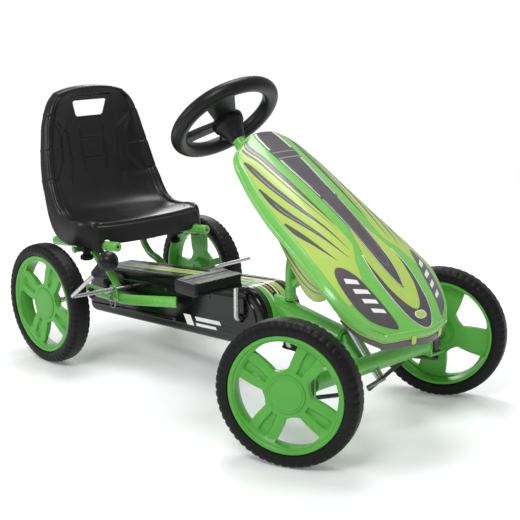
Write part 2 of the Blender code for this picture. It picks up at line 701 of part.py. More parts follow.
PITMAN_BACK = Vector((-0.722, 0, -0.692)).normalized()
pitman_turn = Matrix.Rotation(math.radians(WHEEL_TURN), 3, -COLUMN_DOWN)
pitman_dir = pitman_turn @ PITMAN_BACK
pitman_tip = column(PITMAN_AT) + pitman_dir * PITMAN_LENGTH

steering = add("steering_column", tube([column(0.010), column(0.5965)], COLUMN_R, 16), STEEL, metallic=1.0,
               pivot=STEER_CENTRE)


def pitman_arm():
    middle = column(PITMAN_AT + 0.0085)
    tip = middle + pitman_dir * PITMAN_LENGTH
    wide = COLUMN_DOWN.cross(pitman_dir).normalized()
    outline = [middle + wide * 0.011 - pitman_dir * 0.008, middle + wide * 0.011, tip + wide * 0.006,
               tip - wide * 0.006, middle - wide * 0.011, middle - wide * 0.011 - pitman_dir * 0.008]
    return skin([[p + COLUMN_DOWN * d for p in outline] for d in (-0.0036, 0.0010)])


add("pitman_arm", pitman_arm(), BLACK, metallic=0.6, pivot=STEER_CENTRE)

for side, name in ((-1, "right"), (1, "left")):
    outer = arm_tip(side) + Vector((0, 0, -0.0075))
    inner = pitman_tip + Vector((0, 0, -0.012)) + Vector((0, side * 0.012, 0))
    rod_dir = (inner - outer).normalized()
    add(f"tie_rod_{name}", tube([outer + rod_dir * 0.0, inner], 0.0040, 12), BLACK, metallic=0.6,
        pivot=arm_tip(side))

# Steering wheel: a round ring, three spokes and a deep hub that runs down to the column.
plane_up = Vector((0.722, 0, 0.692)).normalized()
ring = []
for i in range(36):
    angle = 2 * math.pi * i / 36
    out = plane_up * math.cos(angle) + Vector((0, 1, 0)) * math.sin(angle)
    ring.append(circle(STEER_CENTRE + out * RING_R, out, COLUMN_DOWN, RING_TUBE_R, 10))
wheel = add("steering_wheel", skin(ring, wrap=True), BLACK, roughness=0.5, pivot=STEER_CENTRE)


def hub():
    profile = [(0.0010, 0.0230), (0.0060, 0.0330), (0.0200, 0.0310), (0.0400, 0.0200), (0.0550, 0.0150)]
    return turned(profile, STEER_CENTRE, COLUMN_DOWN, 24)


operate(wheel, hub(), "UNION")
for direction, root_half, tip_half in ((-90, 0.016, 0.021), (90, 0.014, 0.018), (180, 0.012, 0.014)):
    angle = math.radians(direction + WHEEL_TURN)
    out = plane_up * math.cos(angle) + Vector((0, 1, 0)) * math.sin(angle)
    wide = COLUMN_DOWN.cross(out)
    root, tip = STEER_CENTRE + out * 0.012, STEER_CENTRE + out * (RING_R - 0.004)
    outline = [root - wide * root_half, tip - wide * tip_half, tip + wide * tip_half, root + wide * root_half]
    sunk = (0.0080, 0.0000, 0.0000, 0.0080)
    operate(wheel, skin([[p + COLUMN_DOWN * (d + s) for p, s in zip(outline, sunk)]
                         for d in (-0.0050, 0.0060)]), "UNION")
operate(wheel, tube([column(0.0075), column(0.0700)], COLUMN_R + GAP, 16))

# ---------------------------------------------------------------- seat
# Stations from the front lip to the top: middle x, z; edge x, y, z; the way its skirt hangs (x, z).
SEAT = [
    (0.0840, 0.2880, 0.0770, 0.1330, 0.2910, 0.10, -1.0), (0.0770, 0.2945, 0.0690, 0.1420, 0.2985, 0.0, -1.0),
    (0.0400, 0.2950, 0.0420, 0.1520, 0.3000, 0.0, -1.0), (0.0000, 0.2900, 0.0080, 0.1510, 0.2965, 0.0, -1.0),
    (-0.0350, 0.2880, -0.0180, 0.1480, 0.3000, -0.2, -1.0), (-0.0680, 0.2980, -0.0360, 0.1450, 0.3090, -0.5, -0.9),
    (-0.0920, 0.3230, -0.0510, 0.1440, 0.3260, -0.8, -0.7), (-0.1070, 0.3580, -0.0640, 0.1420, 0.3500, -1.0, -0.4),
    (-0.1170, 0.3980, -0.0770, 0.1380, 0.3800, -1.0, -0.2), (-0.1230, 0.4380, -0.0880, 0.1330, 0.4140, -1.0, -0.1),
    (-0.1270, 0.4760, -0.0990, 0.1250, 0.4540, -1.0, -0.1), (-0.1280, 0.5080, -0.1065, 0.1170, 0.4880, -1.0, 0.0),
    (-0.1250, 0.5390, -0.1130, 0.1020, 0.5250, -1.0, 0.0), (-0.1180, 0.5545, -0.1190, 0.0840, 0.5430, -1.0, 0.0),
]
SEAT_DEPTHS = (1.05, 1.0, 1.0, 1.0, 1.0, 1.0, 0.95, 0.90, 0.85, 0.78, 0.70, 0.66, 0.60, 0.50)
SEAT_ACROSS = (0.0, 0.22, 0.44, 0.64, 0.82, 0.94, 1.0)
SEAT_RINGS = ((0.0045, 0.0030), (0.0070, 0.0110), (0.0080, 0.0360))
SEAT_WALL = 0.0035


def seat_row(xc, zc, xe, ye, ze):
    half = []
    for v in SEAT_ACROSS:
        lift = v ** 2.6
        half.append(Vector((xc + (xe - xc) * lift, ye * v, zc + (ze - zc) * lift)))
    return [Vector((p.x, -p.y, p.z)) for p in reversed(half[1:])] + half


def seat_shell():
    grid = [seat_row(*station[:5]) for station in SEAT]
    last, end = len(grid) - 1, len(grid[0]) - 1

    def hang(i, j):
        out = Vector((0, 0, 0))
        if j in (0, end):
            out += Vector((0, -1 if j == 0 else 1, 0))
        if i == 0:
            out += Vector((1.0, 0.35 * grid[0][j].y / grid[0][end].y, 0))
        if i == last:
            out += Vector((0, 0.6 * grid[last][j].y / grid[last][end].y, 1.0))
        down = Vector((SEAT[i][5], 0, SEAT[i][6])).normalized()
        return out.normalized(), down, SEAT_DEPTHS[i]

    return skirted(grid, hang, SEAT_RINGS, SEAT_WALL)


seat = add("seat_shell", seat_shell(), BLACK, roughness=0.45)
handle = [(-0.0460, 0.5300), (0.0460, 0.5300), (0.0360, 0.4945), (-0.0360, 0.4945)]
operate(seat, extruded(handle, -0.180, -0.090, lambda a, b, t: (t, a, b)))


def seat_clamp(x):
    """The block under the seat that wraps a rail."""
    z = rail_z(x)
    return block((x - 0.0140, -RAIL_Y - 0.0155, z - 0.0145), (x + 0.0140, -RAIL_Y + 0.0155, z + 0.0290))


def rail_bore(sign, radius):
    ends = [(x, sign * RAIL_Y, rail_z(x)) for x in (-0.150, 0.170)]
    return tube(ends, radius, 18)


for sign in (-1, 1):
    operate(seat, rail_bore(sign, RAIL_R + 0.0015))
for obj, sign in zip(both_sides("seat_clamp", lambda: seat_clamp(CLAMP_X), BLACK), (-1, 1)):
    operate(obj, rail_bore(sign, RAIL_R + 0.0005))
    operate(obj, tube([(CLAMP_X, sign * RAIL_Y, 0.2000), (CLAMP_X, sign * RAIL_Y, 0.2440)], 0.0033, 12))


def seat_knob():
    profile = [(0.0, 0.0110), (0.0015, 0.0140), (0.0100, 0.0140), (0.0125, 0.0090), (0.0160, 0.0080),
               (0.0208, 0.0075), (0.0208, 0.0030), (0.0245, 0.0030)]
    return turned(profile, (CLAMP_X, -RAIL_Y, rail_z(CLAMP_X) - 0.0355), (0, 0, 1), 24)


both_sides("seat_knob", seat_knob, BLACK, pivot=(CLAMP_X, -RAIL_Y, 0.2200))

# ---------------------------------------------------------------- hand brake
LEVER_TOP, LEVER_BEND = Vector((0.2210, -0.2340, 0.2415)), Vector((0.1400, -0.2455, 0.1740))
brake_path = rounded([
    LEVER_TOP, LEVER_BEND, (0.1370, -0.1400, 0.1690),
    (BRAKE_X, -0.1240, BRAKE_Z), (BRAKE_X, 0.1240, BRAKE_Z), (0.1370, 0.1400, 0.1690),
    (0.1420, 0.2360, 0.1720)], 0.0075, 4)
add("brake_rod", tube(brake_path, BRAKE_R, 10), STEEL, metallic=1.0, pivot=(BRAKE_X, 0, BRAKE_Z))
lever = (LEVER_TOP - LEVER_BEND).normalized()
grip_low = LEVER_TOP - lever * 0.0160
ball_centre = LEVER_TOP + lever * 0.0350
grip = add("brake_grip", turned([(0.0, 0.0075), (0.0020, 0.0090), (0.0340, 0.0115), (0.0400, 0.0115)],
                                grip_low, lever, 20), BLACK, pivot=(BRAKE_X, 0, BRAKE_Z))
operate(grip, tube([grip_low - lever * 0.010, LEVER_TOP + lever * 0.0006],
                   BRAKE_R + GAP, 12))
ball = []
for i in range(1, 12):
    angle = math.pi * i / 12
    ball.append((-0.0205 * math.cos(angle), 0.0205 * math.sin(angle)))
ball = [point for point in ball if point[0] > -0.0165]
add("brake_ball", turned([(-0.0108, 0.0112), (-0.0104, 0.0174)] + ball[2:], ball_centre, lever, 24), BLACK,
    pivot=(BRAKE_X, 0, BRAKE_Z))
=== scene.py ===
"""The looks of a child's pedal go kart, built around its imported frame.

Lengths are metres.  Shapes are drawn from the rear axle (x = 0 on the axle, y = 0 in the middle,
z = 0 on the ground) and moved to the frame's own place when a piece is kept.
"""

import sys

import logging
import math
from dataclasses import dataclass, field
from enum import Enum
from typing import Callable, Iterable, Sequence

import bmesh
import bpy
from mathutils import Matrix, Vector

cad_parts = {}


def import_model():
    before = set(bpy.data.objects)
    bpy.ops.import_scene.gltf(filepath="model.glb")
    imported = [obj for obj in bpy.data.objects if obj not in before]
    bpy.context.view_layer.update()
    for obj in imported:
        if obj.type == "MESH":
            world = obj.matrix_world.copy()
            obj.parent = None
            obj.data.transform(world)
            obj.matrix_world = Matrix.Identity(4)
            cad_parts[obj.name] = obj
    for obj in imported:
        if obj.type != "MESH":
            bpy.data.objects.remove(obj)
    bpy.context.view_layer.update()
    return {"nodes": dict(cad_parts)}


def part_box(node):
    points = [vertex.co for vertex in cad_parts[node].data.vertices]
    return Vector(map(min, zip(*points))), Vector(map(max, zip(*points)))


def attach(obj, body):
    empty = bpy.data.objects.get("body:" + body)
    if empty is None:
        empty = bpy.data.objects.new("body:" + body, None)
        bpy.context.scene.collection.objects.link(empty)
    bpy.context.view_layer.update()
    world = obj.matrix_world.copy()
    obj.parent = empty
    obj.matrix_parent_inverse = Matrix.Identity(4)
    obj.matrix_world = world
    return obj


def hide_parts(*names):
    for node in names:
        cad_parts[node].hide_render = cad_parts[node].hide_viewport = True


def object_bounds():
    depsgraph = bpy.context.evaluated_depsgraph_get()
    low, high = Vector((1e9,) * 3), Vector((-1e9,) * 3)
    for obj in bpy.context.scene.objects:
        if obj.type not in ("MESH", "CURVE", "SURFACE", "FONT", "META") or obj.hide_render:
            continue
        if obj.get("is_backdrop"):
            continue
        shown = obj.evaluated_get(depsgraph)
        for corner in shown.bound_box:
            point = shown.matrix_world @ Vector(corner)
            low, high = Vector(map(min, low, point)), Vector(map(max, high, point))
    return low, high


LOG = logging.getLogger("go_kart")
TAU = 2.0 * math.pi
GAP = 0.0003
Y_AXIS = Vector((0.0, 1.0, 0.0))
Z_AXIS = Vector((0.0, 0.0, 1.0))

Colour = tuple[float, float, float]
Ring = list[Vector]
Outline = Sequence[tuple[float, float]]
Form = bmesh.types.BMesh
Tree = bpy.types.NodeTree
Node = bpy.types.Node
Socket = bpy.types.NodeSocket


# ---- finishes
class Texture(Enum):
    """The fine relief that a finish carries."""

    PAINT = "paint"
    GRAIN = "grain"
    FOAM = "foam"
    BRUSHED = "brushed"
    DOTS = "dots"


@dataclass(frozen=True)
class Finish:
    """One surface finish: its colours, gloss and relief."""

    name: str
    slot: str
    colour: Colour
    second: Colour
    roughness: float
    spread: float = 0.1
    metallic: float = 0.0
    coat: float = 0.0
    texture: Texture = Texture.PAINT
    cell: float = 0.0012
    depth: float = 0.00005
    wear: float = 0.25
    wear_colour: Colour = (0.45, 0.45, 0.42)
    dust: float = 0.06
    specular: float = 0.5


GREEN_PAINT = Finish("green_paint", "green_paint", (0.125, 0.48, 0.062), (0.105, 0.435, 0.052), 0.28, coat=0.35,
    cell=0.003, depth=0.00006, wear=0.18, wear_colour=(0.3, 0.62, 0.22))
RIM_GREEN = Finish("rim_green", "green_plastic", (0.08, 0.375, 0.038), (0.066, 0.33, 0.031), 0.38,
    texture=Texture.GRAIN, cell=0.0011, depth=0.00004, wear=0.2, wear_colour=(0.16, 0.55, 0.1))
BRIGHT_GREEN = Finish("bonnet_green", "lime_plastic", (0.175, 0.52, 0.09), (0.15, 0.48, 0.076), 0.26, coat=0.35,
    cell=0.004, depth=0.00004, wear=0.18, wear_colour=(0.34, 0.7, 0.22))
LIME = Finish("bonnet_lime", "lime_plastic", (0.43, 0.6, 0.1), (0.395, 0.56, 0.086), 0.3, coat=0.3, cell=0.004,
    depth=0.00003, wear=0.1, wear_colour=(0.6, 0.74, 0.3))
PRINT_GREY = Finish("print_grey", "grey_plastic", (0.082, 0.073, 0.082), (0.066, 0.058, 0.066), 0.32, coat=0.25,
    cell=0.0025, depth=0.00003, wear=0.1, wear_colour=(0.25, 0.24, 0.25))
PRINT_SILVER = Finish("print_silver", "grey_plastic", (0.3, 0.285, 0.295), (0.255, 0.24, 0.25), 0.3, coat=0.3,
    cell=0.0025, depth=0.00003, wear=0.0)
PRINT_WHITE = Finish("print_white", "lime_plastic", (0.86, 0.86, 0.85), (0.8, 0.8, 0.79), 0.3, coat=0.3,
    cell=0.0025, depth=0.00003, wear=0.05, wear_colour=(0.6, 0.6, 0.6))
PRINT_ORANGE = Finish("print_orange", "lime_plastic", (0.72, 0.2, 0.05), (0.6, 0.3, 0.06), 0.32, coat=0.3,
    cell=0.0025, depth=0.00003, wear=0.0)
SEAT_BLACK = Finish("seat_black", "black_plastic", (0.005, 0.0048, 0.0056), (0.0078, 0.0075, 0.0085), 0.33,
    spread=0.14, texture=Texture.GRAIN, cell=0.0011, depth=0.00008, wear=0.3, wear_colour=(0.035, 0.035, 0.037),
    dust=0.006, specular=0.34)
MOULDED_BLACK = Finish("moulded_black", "black_plastic", (0.0042, 0.0042, 0.0046), (0.0066, 0.0066, 0.007),
    0.44, texture=Texture.GRAIN, cell=0.0013, depth=0.00009, wear=0.25, wear_colour=(0.03, 0.03, 0.031),
    dust=0.004, specular=0.24)
GLOSS_BLACK = Finish("gloss_black", "black_gloss", (0.003, 0.003, 0.0034), (0.0046, 0.0046, 0.005), 0.14,
    spread=0.1, coat=0.1, cell=0.006, depth=0.00004, wear=0.15, wear_colour=(0.02, 0.02, 0.022), dust=0.003,
    specular=0.3)
GLOSS_SOFT = Finish("knob_black", "black_plastic", (0.0042, 0.0042, 0.0046), (0.0064, 0.0064, 0.007), 0.36,
    texture=Texture.GRAIN, cell=0.0014, depth=0.00003, wear=0.15, wear_colour=(0.03, 0.03, 0.03),
    dust=0.004, specular=0.3)
CARBON = Finish("carbon_dots", "black_gloss", (0.045, 0.043, 0.04), (0.006, 0.006, 0.006), 0.3, coat=0.2,
    texture=Texture.DOTS, cell=0.0026, depth=0.00005, wear=0.0, dust=0.02)
PEDAL_GREY = Finish("pedal_grey", "grey_plastic", (0.014, 0.0135, 0.0145), (0.01, 0.0098, 0.0105), 0.46,
    texture=Texture.GRAIN, cell=0.0012, depth=0.00007, wear=0.2, wear_colour=(0.04, 0.04, 0.04), dust=0.004,
    specular=0.25)
STEEL = Finish("zinc_steel", "steel", (0.6, 0.6, 0.61), (0.46, 0.46, 0.47), 0.28, spread=0.16, metallic=1.0,
    texture=Texture.BRUSHED, cell=0.001, depth=0.00002, wear=0.3, wear_colour=(0.75, 0.75, 0.76))
CHAIN_STEEL = Finish("chain_steel", "chain_steel", (0.36, 0.34, 0.31), (0.22, 0.2, 0.18), 0.38, metallic=1.0,
    texture=Texture.BRUSHED, cell=0.0012, depth=0.00004)
BLACK_STEEL = Finish("black_steel", "black_steel", (0.016, 0.016, 0.017), (0.024, 0.024, 0.025), 0.4, coat=0.1,
    cell=0.003, depth=0.00005, wear=0.35, wear_colour=(0.2, 0.2, 0.2))
FOAM = Finish("tyre_foam", "tyre_foam", (0.003, 0.003, 0.0033), (0.0055, 0.0055, 0.0058), 0.46, spread=0.16,
    texture=Texture.FOAM, cell=0.0016, depth=0.0001, wear=0.35, wear_colour=(0.028, 0.028, 0.028),
    dust=0.004, specular=0.2)
# Painted shade: a near-black finish for the flat discs that stand for the shade inside the rails' screw holes.
HOLE_SHADE = Finish("painted_hole_shade", "green_paint", (0.01, 0.014, 0.01), (0.006, 0.008, 0.006), 0.6, wear=0.0)

CARRIED_OVER: dict[Finish, tuple[str, ...]] = {
    GREEN_PAINT: ("kingpin_yoke_right", "kingpin_yoke_left"),
    MOULDED_BLACK: ("axle_bush_right", "axle_bush_left", "seat_clamp_right", "seat_clamp_left"),
    CHAIN_STEEL: ("chain", "axle_sprocket", "crank_sprocket"),
    STEEL: ("crank_bearing",),
    BLACK_STEEL: ("knuckle_right", "knuckle_left", "pitman_arm"),
}


class Graph:
    """A node tree that is written as formulas."""

    def __init__(self, tree: Tree) -> None:
        """Works on a tree."""
        self.tree = tree

    def node(self, kind: str, inputs: dict[str | int, object], **settings: object) -> Node:
        """Adds a node.

        Args:
            kind: Its type, without the leading ShaderNode.
            inputs: What each input is linked to, or its fixed value.
            **settings: The node's own settings.

        Returns:
            The node.
        """
        node = self.tree.nodes.new("ShaderNode" + kind)
        for name, setting in settings.items():
            setattr(node, name, setting)
        for name, value in inputs.items():
            self.feed(value, node.inputs[name])
        return node

    def feed(self, value: object, socket: Socket) -> None:
        """Links a value's socket to an input, or writes a plain value there."""
        if isinstance(value, Socket):
            self.tree.links.new(value, socket)
        else:
            socket.default_value = value

    def noise(self, place: Socket, scale: float, detail: float, rough: float) -> Socket:
        """Gives a noise texture's value."""
        return self.node("TexNoise", {"Vector": place, "Scale": scale, "Detail": detail,
            "Roughness": rough}).outputs["Fac"]

    def span(self, value: Socket, low: float, high: float, first: float = 0.0, last: float = 1.0) -> Socket:
        """Stretches low..high of a value over first..last, without going past them."""
        inputs = {"Value": value, "From Min": low, "From Max": high, "To Min": first, "To Max": last}
        return self.node("MapRange", inputs).outputs["Result"]

    def math(self, kind: str, first: object, second: object) -> Socket:
        """Gives a Math node's result."""
        return self.node("Math", {0: first, 1: second}, operation=kind).outputs[0]

    def up_share(self) -> Socket:
        """Gives how far a face looks up."""
        normal = self.node("NewGeometry", {}).outputs["Normal"]
        return self.node("SeparateXYZ", {0: normal}).outputs["Z"]

    def mix(self, factor: Socket, first: Colour | Socket, second: Colour) -> Socket:
        """Mixes two colours.

        Args:
            factor: How much of the second one shows.
            first: The first colour, or a socket that gives it.
            second: The second colour.

        Returns:
            The mixed colour.
        """
        node = self.node("Mix", {}, data_type="RGBA")
        low, high = (socket for socket in node.inputs if socket.type == "RGBA")
        self.feed(factor, node.inputs["Factor"])
        self.feed((*first, 1.0) if isinstance(first, tuple) else first, low)
        self.feed((*second, 1.0), high)
        return next(socket for socket in node.outputs if socket.type == "RGBA")


class Effects:
    """The shader node groups that the finishes share, each built once."""

    DUST_COLOUR: Colour = (0.42, 0.41, 0.38)

    def __init__(self) -> None:
        """Makes every group."""
        self.drift = self._group("Colour drift", (), "Drift", self._drift)
        self.wear = self._group("Edge wear", ("Amount",), "Mask", self._wear)
        self.dust = self._group("Dust film", ("Amount",), "Mask", self._dust)
        reliefs: dict[Texture, tuple[str, Callable[[Graph, Node], Socket]]] = {Texture.PAINT: ("Orange peel",
            lambda graph, start: self._uneven(graph, start, 1.0, 2.0, 0.45)),
            Texture.GRAIN: ("Moulded grain", lambda graph, start: self._pebbled(graph, start, 0.55)),
            Texture.FOAM: ("Foam skin", lambda graph, start: self._pebbled(graph, start, 1.0)),
            Texture.BRUSHED: ("Brushed lines", lambda graph, start: self._uneven(graph, start, 12.0, 3.0,
            0.6)), Texture.DOTS: ("Woven dots", self._dots)}
        self.relief = {kind: self._group(name, ("Cell",), "Height", make) for kind, (name, make) in reliefs.items()}

    @staticmethod
    def _group(name: str, values: Sequence[str], output: str, make: Callable[[Graph, Node], Socket]) -> Tree:
        """Builds a node group with a position input, number inputs and one number output.

        Args:
            name: The group's name.
            values: Names of the number inputs.
            output: Name of the number output.
            make: Builds what the output shows from the group's input node.

        Returns:
            The group.
        """
        tree = bpy.data.node_groups.new(name, "ShaderNodeTree")
        tree.interface.new_socket(name="Position", in_out="INPUT", socket_type="NodeSocketVector")
        for value in values:
            tree.interface.new_socket(name=value, in_out="INPUT", socket_type="NodeSocketFloat")
        tree.interface.new_socket(name=output, in_out="OUTPUT", socket_type="NodeSocketFloat")
        start, end = tree.nodes.new("NodeGroupInput"), tree.nodes.new("NodeGroupOutput")
        tree.links.new(make(Graph(tree), start), end.inputs[output])
        return tree

    @staticmethod
    def _scaled(graph: Graph, start: Node, stretch: float = 1.0) -> Socket:
        """Divides the position by the Cell input, with cells that are longer along y by the stretch."""
        inverse = graph.math("DIVIDE", 1.0, start.outputs["Cell"])
        scaled = graph.node("VectorMath", {0: start.outputs["Position"], "Scale": inverse}, operation="SCALE")
        return graph.node("VectorMath", {0: scaled.outputs[0], 1: (1.0, stretch, 1.0)},
            operation="DIVIDE").outputs[0]

    @staticmethod
    def _drift(graph: Graph, start: Node) -> Socket:
        """Slow colour and gloss variation over a few centimetres."""
        place = start.outputs["Position"]
        broad = graph.math("MULTIPLY", graph.noise(place, 14.0, 3.0, 0.55), 0.75)
        fine = graph.math("MULTIPLY", graph.noise(place, 240.0, 2.0, 0.6), 0.25)
        return graph.span(graph.math("ADD", broad, fine), 0.36, 0.64)

    @staticmethod
    def _wear(graph: Graph, start: Node) -> Socket:
        """Rubbed outer edges, broken up by noise."""
        edge = graph.span(graph.node("NewGeometry", {}).outputs["Pointiness"], 0.525, 0.6)
        patches = graph.span(graph.noise(start.outputs["Position"], 90.0, 4.0, 0.6), 0.4, 0.62)
        return graph.math("MULTIPLY", graph.math("MULTIPLY", edge, patches), start.outputs["Amount"])

    @staticmethod
    def _dust(graph: Graph, start: Node) -> Socket:
        """A thin film of dust on faces that look up."""
        cloud = graph.span(graph.noise(start.outputs["Position"], 55.0, 5.0, 0.65), 0.42, 0.75)
        upward = graph.span(graph.up_share(), 0.2, 1.0)
        return graph.math("MULTIPLY", graph.math("MULTIPLY", upward, cloud), start.outputs["Amount"])

    @classmethod
    def _uneven(cls, graph: Graph, start: Node, stretch: float, detail: float, rough: float) -> Socket:
        """A soft uneven relief, drawn out along y when stretched."""
        return graph.noise(cls._scaled(graph, start, stretch), 1.0, detail, rough)

    @classmethod
    def _pebbled(cls, graph: Graph, start: Node, share: float) -> Socket:
        """A relief of small cells, as strong as the share says, over a little noise."""
        place = cls._scaled(graph, start)
        cells = graph.node("TexVoronoi", {"Vector": place, "Scale": 1.0}, feature="SMOOTH_F1").outputs["Distance"]
        soft = graph.math("MULTIPLY", graph.noise(place, 0.6, 3.0, 0.6), 0.8)
        return graph.math("ADD", graph.math("MULTIPLY", cells, share), soft)

    @classmethod
    def _dots(cls, graph: Graph, start: Node) -> Socket:
        """Rows of small round dots, as in a printed carbon pattern."""
        inputs = {"Vector": cls._scaled(graph, start), "Scale": 1.0, "Randomness": 0.0}
        return graph.span(graph.node("TexVoronoi", inputs).outputs["Distance"], 0.52, 0.36)


class PaintShop:
    """Turns finishes into materials, each made once."""

    def __init__(self) -> None:
        """Builds the shared effects."""
        self.effects = Effects()
        self.made: dict[str, bpy.types.Material] = {}

    def material(self, finish: Finish) -> bpy.types.Material:
        """Gives a finish's material."""
        if finish.name not in self.made:
            self.made[finish.name] = self._build(finish)
        return self.made[finish.name]

    def _build(self, finish: Finish) -> bpy.types.Material:
        """Makes a finish's material.

        Args:
            finish: The finish.

        Returns:
            The new material.
        """
        made = bpy.data.materials.new(finish.name)
        made.use_nodes = True
        graph, shader = Graph(made.node_tree), made.node_tree.nodes["Principled BSDF"]
        place = graph.node("TexCoord", {}).outputs["Object"]

        def effect(group: Tree, **values: float) -> Socket:
            """Places a shared group with its own values."""
            return graph.node("Group", {"Position": place, **values}, node_tree=group).outputs[0]

        drift = effect(self.effects.drift)
        relief = effect(self.effects.relief[finish.texture], Cell=finish.cell)
        colour = graph.mix(relief if finish.texture is Texture.DOTS else drift, finish.colour, finish.second)
        if finish.wear:
            colour = graph.mix(effect(self.effects.wear, Amount=finish.wear), colour, finish.wear_colour)
        colour = graph.mix(effect(self.effects.dust, Amount=finish.dust), colour, Effects.DUST_COLOUR)
        low, high = finish.roughness * (1.0 - finish.spread), finish.roughness * (1.0 + finish.spread)
        bump = graph.node("Bump", {"Strength": 1.0, "Distance": finish.depth, "Height": relief})
        settings = {"Base Color": colour, "Roughness": graph.span(drift, 0.0, 1.0, low, high),
            "Normal": bump.outputs["Normal"], "Metallic": finish.metallic,
            "Coat Weight": finish.coat, "Coat Roughness": 0.08, "Specular IOR Level": finish.specular}
        for name, value in settings.items():
            graph.feed(value, shader.inputs[name])
        return made


# ---- mesh forms
def skin(rings: Sequence[Ring], wrap: bool = False, form: Form | None = None) -> Form:
    """Joins rings of equally many points with quads.

    Args:
        rings: The rings, in order.
        wrap: Joins the last ring to the first; otherwise both ends are capped.
        form: A mesh to add to; a new one if None.

    Returns:
        The mesh.
    """
    form = form or bmesh.new()
    rows = [[form.verts.new(point) for point in ring] for ring in rings]
    count = len(rows[0])
    made = []
    for low, high in list(zip(rows[:-1], rows[1:])) + ([(rows[-1], rows[0])] if wrap else []):
        made += [form.faces.new((low[i], low[(i + 1) % count], high[(i + 1) % count], high[i]))
            for i in range(count)]
    if not wrap:
        made += [form.faces.new(list(reversed(rows[0]))), form.faces.new(rows[-1])]
    bmesh.ops.recalc_face_normals(form, faces=made)
    return form


def across(direction: Vector) -> tuple[Vector, Vector]:
    """Finds two directions square to one and to each other.

    Args:
        direction: The given direction.

    Returns:
        The two unit vectors.
    """
    direction = direction.normalized()
    helper = Z_AXIS if abs(direction.z) < 0.9 else Vector((1.0, 0.0, 0.0))
    side = helper.cross(direction).normalized()
    return side, direction.cross(side).normalized()


def circle(centre: Vector, side: Vector, up: Vector, radius: float, count: int) -> Ring:
    """Gives points round a circle."""
    return [centre + side * (radius * math.cos(TAU * i / count)) + up * (radius * math.sin(TAU * i / count))
        for i in range(count)]


def rounded(path: Sequence[Sequence[float]], radius: float, steps: int = 9) -> list[Vector]:
    """Rounds the corners of a path.

    Args:
        path: Its corner points.
        radius: How far from a corner the curve starts.
        steps: How many steps each curve has.

    Returns:
        The rounded path.
    """
    points = [Vector(point) for point in path]
    out = [points[0]]
    for before, corner, after in zip(points[:-2], points[1:-1], points[2:]):
        start = corner + (before - corner).normalized() * min(radius, 0.48 * (before - corner).length)
        end = corner + (after - corner).normalized() * min(radius, 0.48 * (after - corner).length)
        for i in range(steps + 1):
            t = i / steps
            out.append(start * (1 - t) ** 2 + corner * (2 * t * (1 - t)) + end * t ** 2)
    return out + [points[-1]]


def bar(path: Sequence[Sequence[float]], radius: float, count: int = 32, cap: float = 0.0012,
        form: Form | None = None) -> Form:
    """Makes a round bar or tube along a path, with small chamfers at both ends.

    Args:
        path: The middle line.
        radius: The bar's radius.
        count: Steps round it.
        cap: Size of the end chamfers.
        form: A mesh to add to; a new one if None.

    Returns:
        The mesh.
    """
    points = [Vector(point) for point in path]
    first, last = (points[1] - points[0]).normalized(), (points[-1] - points[-2]).normalized()
    stops = [(points[0], radius - cap), (points[0] + first * cap, radius)]
    stops += [(point, radius) for point in points[1:-1]]
    stops += [(points[-1] - last * cap, radius), (points[-1], radius - cap)]
    rings: list[Ring] = []
    side, _ = across(first)
    for i, (point, size) in enumerate(stops):
        ahead = stops[min(i + 1, len(stops) - 1)][0] - stops[max(i - 1, 0)][0]
        tangent = ahead.normalized() if ahead.length > 1e-9 else first
        side = (side - tangent * side.dot(tangent)).normalized()
        rings.append(circle(point, side, tangent.cross(side), size, count))
    return skin(rings, form=form)


def turned(profile: Outline, centre: Sequence[float], axis: Sequence[float], count: int = 64,
        closed: bool = False, form: Form | None = None) -> Form:
    """Turns a profile about an axis.

    Args:
        profile: (distance along the axis, radius) points.
        centre: Where the axis starts.
        axis: Its direction.
        count: Steps round it.
        closed: The profile is a closed loop, as for a hollow piece.
        form: A mesh to add to; a new one if None.

    Returns:
        The mesh.
    """
    centre, axis = Vector(centre), Vector(axis).normalized()
    side, up = across(axis)
    return skin([circle(centre + axis * along, side, up, radius, count) for along, radius in profile], closed, form)


def plate(outline: Outline, low: float, high: float, place: Callable[[float, float, float], Sequence[float]],
        bevel: float = 0.001, form: Form | None = None) -> Form:
    """Makes a flat outline thick and bevels all its edges.

    Args:
        outline: (a, b) points.
        low: Where the thickness starts.
        high: Where it ends.
        place: Turns (a, b, t) into a point.
        bevel: Width of the bevel.
        form: A mesh to add to; a new one if None.

    Returns:
        The mesh.
    """
    made = skin([[Vector(place(a, b, t)) for a, b in outline] for t in (low, high)])
    if bevel:
        bmesh.ops.bevel(made, geom=list(made.edges), offset=bevel, segments=2, profile=0.5, affect="EDGES")
    return joined(form, made)


def joined(form: Form | None, other: Form) -> Form:
    """Adds one mesh to another.

    Args:
        form: The mesh that grows, or None.
        other: The mesh that goes into it.

    Returns:
        The grown mesh, or the other where there is none.
    """
    if form is None:
        return other
    spare = bpy.data.meshes.new("spare")
    other.to_mesh(spare)
    other.free()
    form.from_mesh(spare)
    bpy.data.meshes.remove(spare)
    return form


def side_place(a: float, b: float, t: float) -> tuple[float, float, float]:
    """Places an outline drawn in x and z, thick along y."""
    return a, t, b


def mirrored(form: Form) -> Form:
    """Mirrors a mesh to the other side of the kart.

    Args:
        form: The mesh, which is changed.

    Returns:
        The same mesh.
    """
    bmesh.ops.scale(form, vec=(1.0, -1.0, 1.0), verts=form.verts)
    bmesh.ops.reverse_faces(form, faces=form.faces)
    return form


